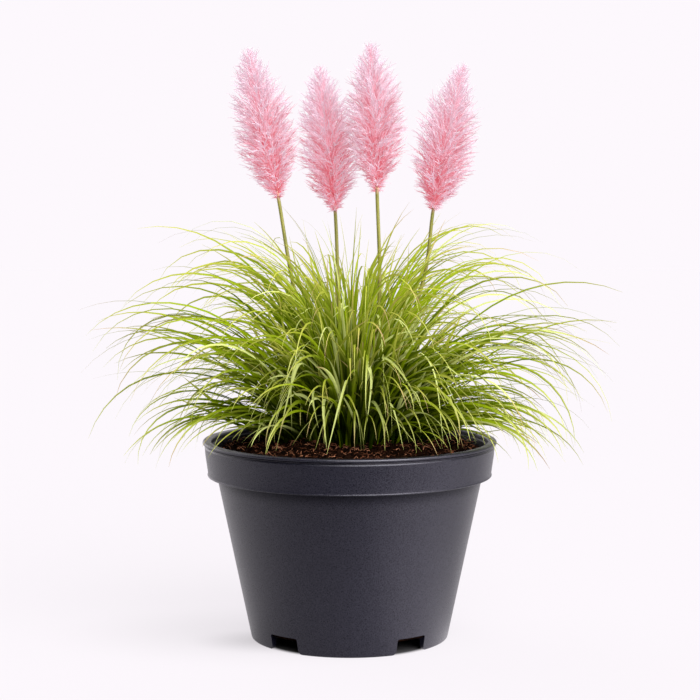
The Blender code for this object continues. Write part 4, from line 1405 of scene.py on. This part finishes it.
def make_leaves(tree, mat):
    """The blades of every shoot, one piece each."""
    rng, more_rng = np.random.default_rng(LEAF_SEED), np.random.default_rng(LEAF_SEED + 1)
    pieces = []
    shoots = [shoot for tier in TIERS.values() for shoot in shoots_of(tier)]
    for number, shoot in enumerate(shoots, 1):
        name = f"leaf_tuft_{number:02d}"
        values = blades_of(shoot, rng)
        more = round(RIGHT_BLADES * max(0.0, math.cos(shoot["azimuth"])))
        if more:
            others = blades_of(dict(shoot, blades=more, inner=0), more_rng)
            values = {key: np.concatenate((values[key], others[key])) for key in values}
        piece = evaluate(name + "_blades", point_mesh(name, values), tree,
                         Segments=LEAF_SEGMENTS, Keel=LEAF_KEEL, Thickness=LEAF_THICKNESS,
                         Material=mat)
        pieces.append((piece, name))
    return pieces


# Stage


def make_camera():
    """The camera that the photograph was taken from."""
    data = bpy.data.cameras.new("camera")
    data.lens = CAMERA_LENS
    data.sensor_width = CAMERA_SENSOR
    data.shift_x = CAMERA_SHIFT
    data.clip_end = CAMERA_FAR
    camera = bpy.data.objects.new("camera", data)
    camera.location = CAMERA_PLACE
    camera.rotation_euler = (math.pi / 2 - CAMERA_TILT, 0.0, 0.0)
    bpy.context.scene.collection.objects.link(camera)
    bpy.context.scene.camera = camera


def ease(value, low, high):
    """From 0 at the low value to 1 at the high one, smoothly."""
    share = np.clip((value - low) / (high - low), 0.0, 1.0)
    return share * share * (3.0 - 2.0 * share)


def room_brightness(turn):
    """The room's brightness at an angle from the front, in degrees, positive
    to the right, as the world's nodes have it."""
    base = ROOM_FRONT + (ROOM_BACK - ROOM_FRONT) * ease(np.abs(turn), *ROOM_SIDES)
    right = ease(turn, *RIGHT_EDGES[:2]) * (1.0 - ease(turn, *RIGHT_EDGES[2:]))
    left = ease(-turn, *LEFT_EDGES[:2]) * (1.0 - ease(-turn, *LEFT_EDGES[2:]))
    return base + right * (ROOM_RIGHT - ROOM_BACK) + left * (ROOM_LEFT - ROOM_BACK)


def floor_light():
    """Light that reaches the open floor from the room and from the key, which
    has to be known for the floor to come out as bright as the backdrop."""
    room = float(np.mean(room_brightness(np.arange(-179.5, 180.0, 1.0))))
    tilt_x, tilt_y = (math.radians(turn) for turn in SUN_TURN)
    key = SUN_POWER * math.cos(tilt_x) * math.cos(tilt_y) / math.pi
    return np.array(BACKDROP) * room + key


def wall_nodes(t, toward, edges):
    """How much of a bright wall stands at an angle."""
    return t.math("MULTIPLY", t.range(toward, *edges[:2]), t.range(toward, *edges[2:], 1.0, 0.0))


def make_world():
    """A white room with a bright wall to each side."""
    world = bpy.data.worlds.new("studio")
    bpy.context.scene.world = world
    world.use_nodes = True
    t = Tree(world.node_tree)
    lit = world.node_tree.nodes["Background"]
    aim = t.add("ShaderNodeSeparateXYZ", {0: t.add("ShaderNodeTexCoord").outputs["Generated"]})
    turn = t.math("ARCTAN2", aim.outputs[0], t.math("MULTIPLY", aim.outputs[1], -1.0))
    turn = t.math("DEGREES", turn)
    base = t.range(t.math("ABSOLUTE", turn), *ROOM_SIDES, ROOM_FRONT, ROOM_BACK)
    for toward, edges, level in ((turn, RIGHT_EDGES, ROOM_RIGHT),
                                 (t.math("MULTIPLY", turn, -1.0), LEFT_EDGES, ROOM_LEFT)):
        base = t.math("MULTIPLY_ADD", wall_nodes(t, toward, edges), level - ROOM_BACK, base)
    t.fill(lit, {"Color": BACKDROP, "Strength": base})
    seen = t.add("ShaderNodeBackground", {"Color": BACKDROP, "Strength": 1.0})
    path = t.add("ShaderNodeLightPath")
    mix = t.add("ShaderNodeMixShader", {0: path.outputs["Is Camera Ray"], 1: lit.outputs[0],
                                        2: seen.outputs[0]})
    t.plug(world.node_tree.nodes["World Output"].inputs["Surface"], mix.outputs[0])


def make_key():
    """A broad soft light from above, the front and the right."""
    key = bpy.data.lights.new("key", "SUN")
    key.energy = SUN_POWER
    key.angle = math.radians(SUN_ANGLE)
    lamp = bpy.data.objects.new("key", key)
    lamp.rotation_euler = (math.radians(SUN_TURN[0]), math.radians(SUN_TURN[1]), 0.0)
    bpy.context.scene.collection.objects.link(lamp)


def make_floor():
    """Paper as bright as the backdrop, with a painted soft shadow to the pot's left and
    painted shade under the pot. Rays other than the camera's meet a floor that is
    brighter or dimmer by direction, which shades the pot."""
    mesh_data = bmesh.new()
    bmesh.ops.create_grid(mesh_data, x_segments=1, y_segments=1, size=FLOOR_REACH)
    mat, t, shader = new_material("paper_floor")
    place = t.add("ShaderNodeTexCoord").outputs["Object"]
    x, y, _ = t.add("ShaderNodeSeparateXYZ", {0: place}).outputs
    turn = t.math("DEGREES", t.math("ARCTAN2", x, t.math("MULTIPLY", y, -1.0)))
    dip = t.math("ABSOLUTE", t.math("SUBTRACT", turn, FLOOR_DIP_TURN))
    unseen = t.math("MULTIPLY", t.range(y, *FLOOR_FADE, FLOOR_NEAR, 1.0),
                    t.range(dip, *FLOOR_DIP_EDGES, FLOOR_DIP_LEVEL, 1.0))
    unseen = t.math("MULTIPLY", unseen, t.math("MULTIPLY_ADD", wall_nodes(t, turn, RIGHT_EDGES),
                                               FLOOR_RIGHT, 1.0))
    seen = t.add("ShaderNodeLightPath").outputs["Is Camera Ray"]
    glow = t.add("ShaderNodeMix", {0: seen, 2: unseen, 3: 1.0}).outputs[0]
    glow = t.math("MULTIPLY", glow, FLOOR_GLOW)
    # Painted soft shadows, then painted shade under the pot
    for centre, size, depth in SHADOWS:
        away = t.vector("DIVIDE", t.vector("SUBTRACT", place, (*centre, 0.0)), (*size, 1.0))
        shadow = t.range(t.vector("LENGTH", away), 0.0, 1.0, depth, 0.0)
        glow = t.math("SUBTRACT", glow, shadow)
    under = t.vector("LENGTH", t.vector("MULTIPLY", place, (1.0, 1.0, 0.0)))
    glow = t.math("MULTIPLY", glow, t.range(under, *UNDER_POT, 0.0, 1.0))
    shade = np.array(BACKDROP) * (1.0 - FLOOR_GLOW) / floor_light()
    t.fill(shader, {"Base Color": shade, "Roughness": 1.0, "Specular IOR Level": 0.0,
                    "Emission Color": BACKDROP, "Emission Strength": glow})
    add_piece("floor", mesh_data, mat)


def show(piece, node):
    """Hands a piece to the frame in place of its CAD node."""
    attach(piece, "root")
    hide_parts(node)


def main():
    """Builds the stage, then every piece."""
    bpy.context.scene.view_settings.view_transform = "Standard"
    make_camera()
    make_world()
    make_key()
    make_floor()
    grain = make_grain_group()
    growth = make_growth_group()
    show(make_pot(pot_material(grain)), "pot")
    show(make_soil_mound(soil_material(grain)), "soil")
    show(make_soil_litter(make_fibre_tree(growth), fibre_material()), "soil")
    tube = make_tube_tree()
    plume_tree = make_plume_tree(growth)
    green, pink, core = stem_material(grain), plume_material(), rachis_material()
    lines = [smooth_curve(flower, FLOWER_STEPS) for flower in FLOWERS]
    for number, line in enumerate(lines, 1):
        stem, plume = f"stem_{number}", f"plume_{number}"
        show(make_rachis(plume + "_core", line[NECK:], tube, core), plume)
        show(make_stem(stem + "_tube", line[:NECK + 1], tube, green), stem)
        show(make_plume(plume + "_hairs", line[NECK - 1:], PLUME_SEED + number, plume_tree, pink),
             plume)
    leaf, blade_tree = leaf_material(), make_blade_tree()
    dry_sheath = make_sheath("stem_3_sheath", lines[2][:NECK + 1], blade_tree, sheath_material())
    show(dry_sheath, "stem_3")
    leaves = make_leaves(make_leaf_tree(growth), leaf) + make_front_blades(blade_tree, leaf)
    for piece, name in leaves:
        show(piece, name)


main()
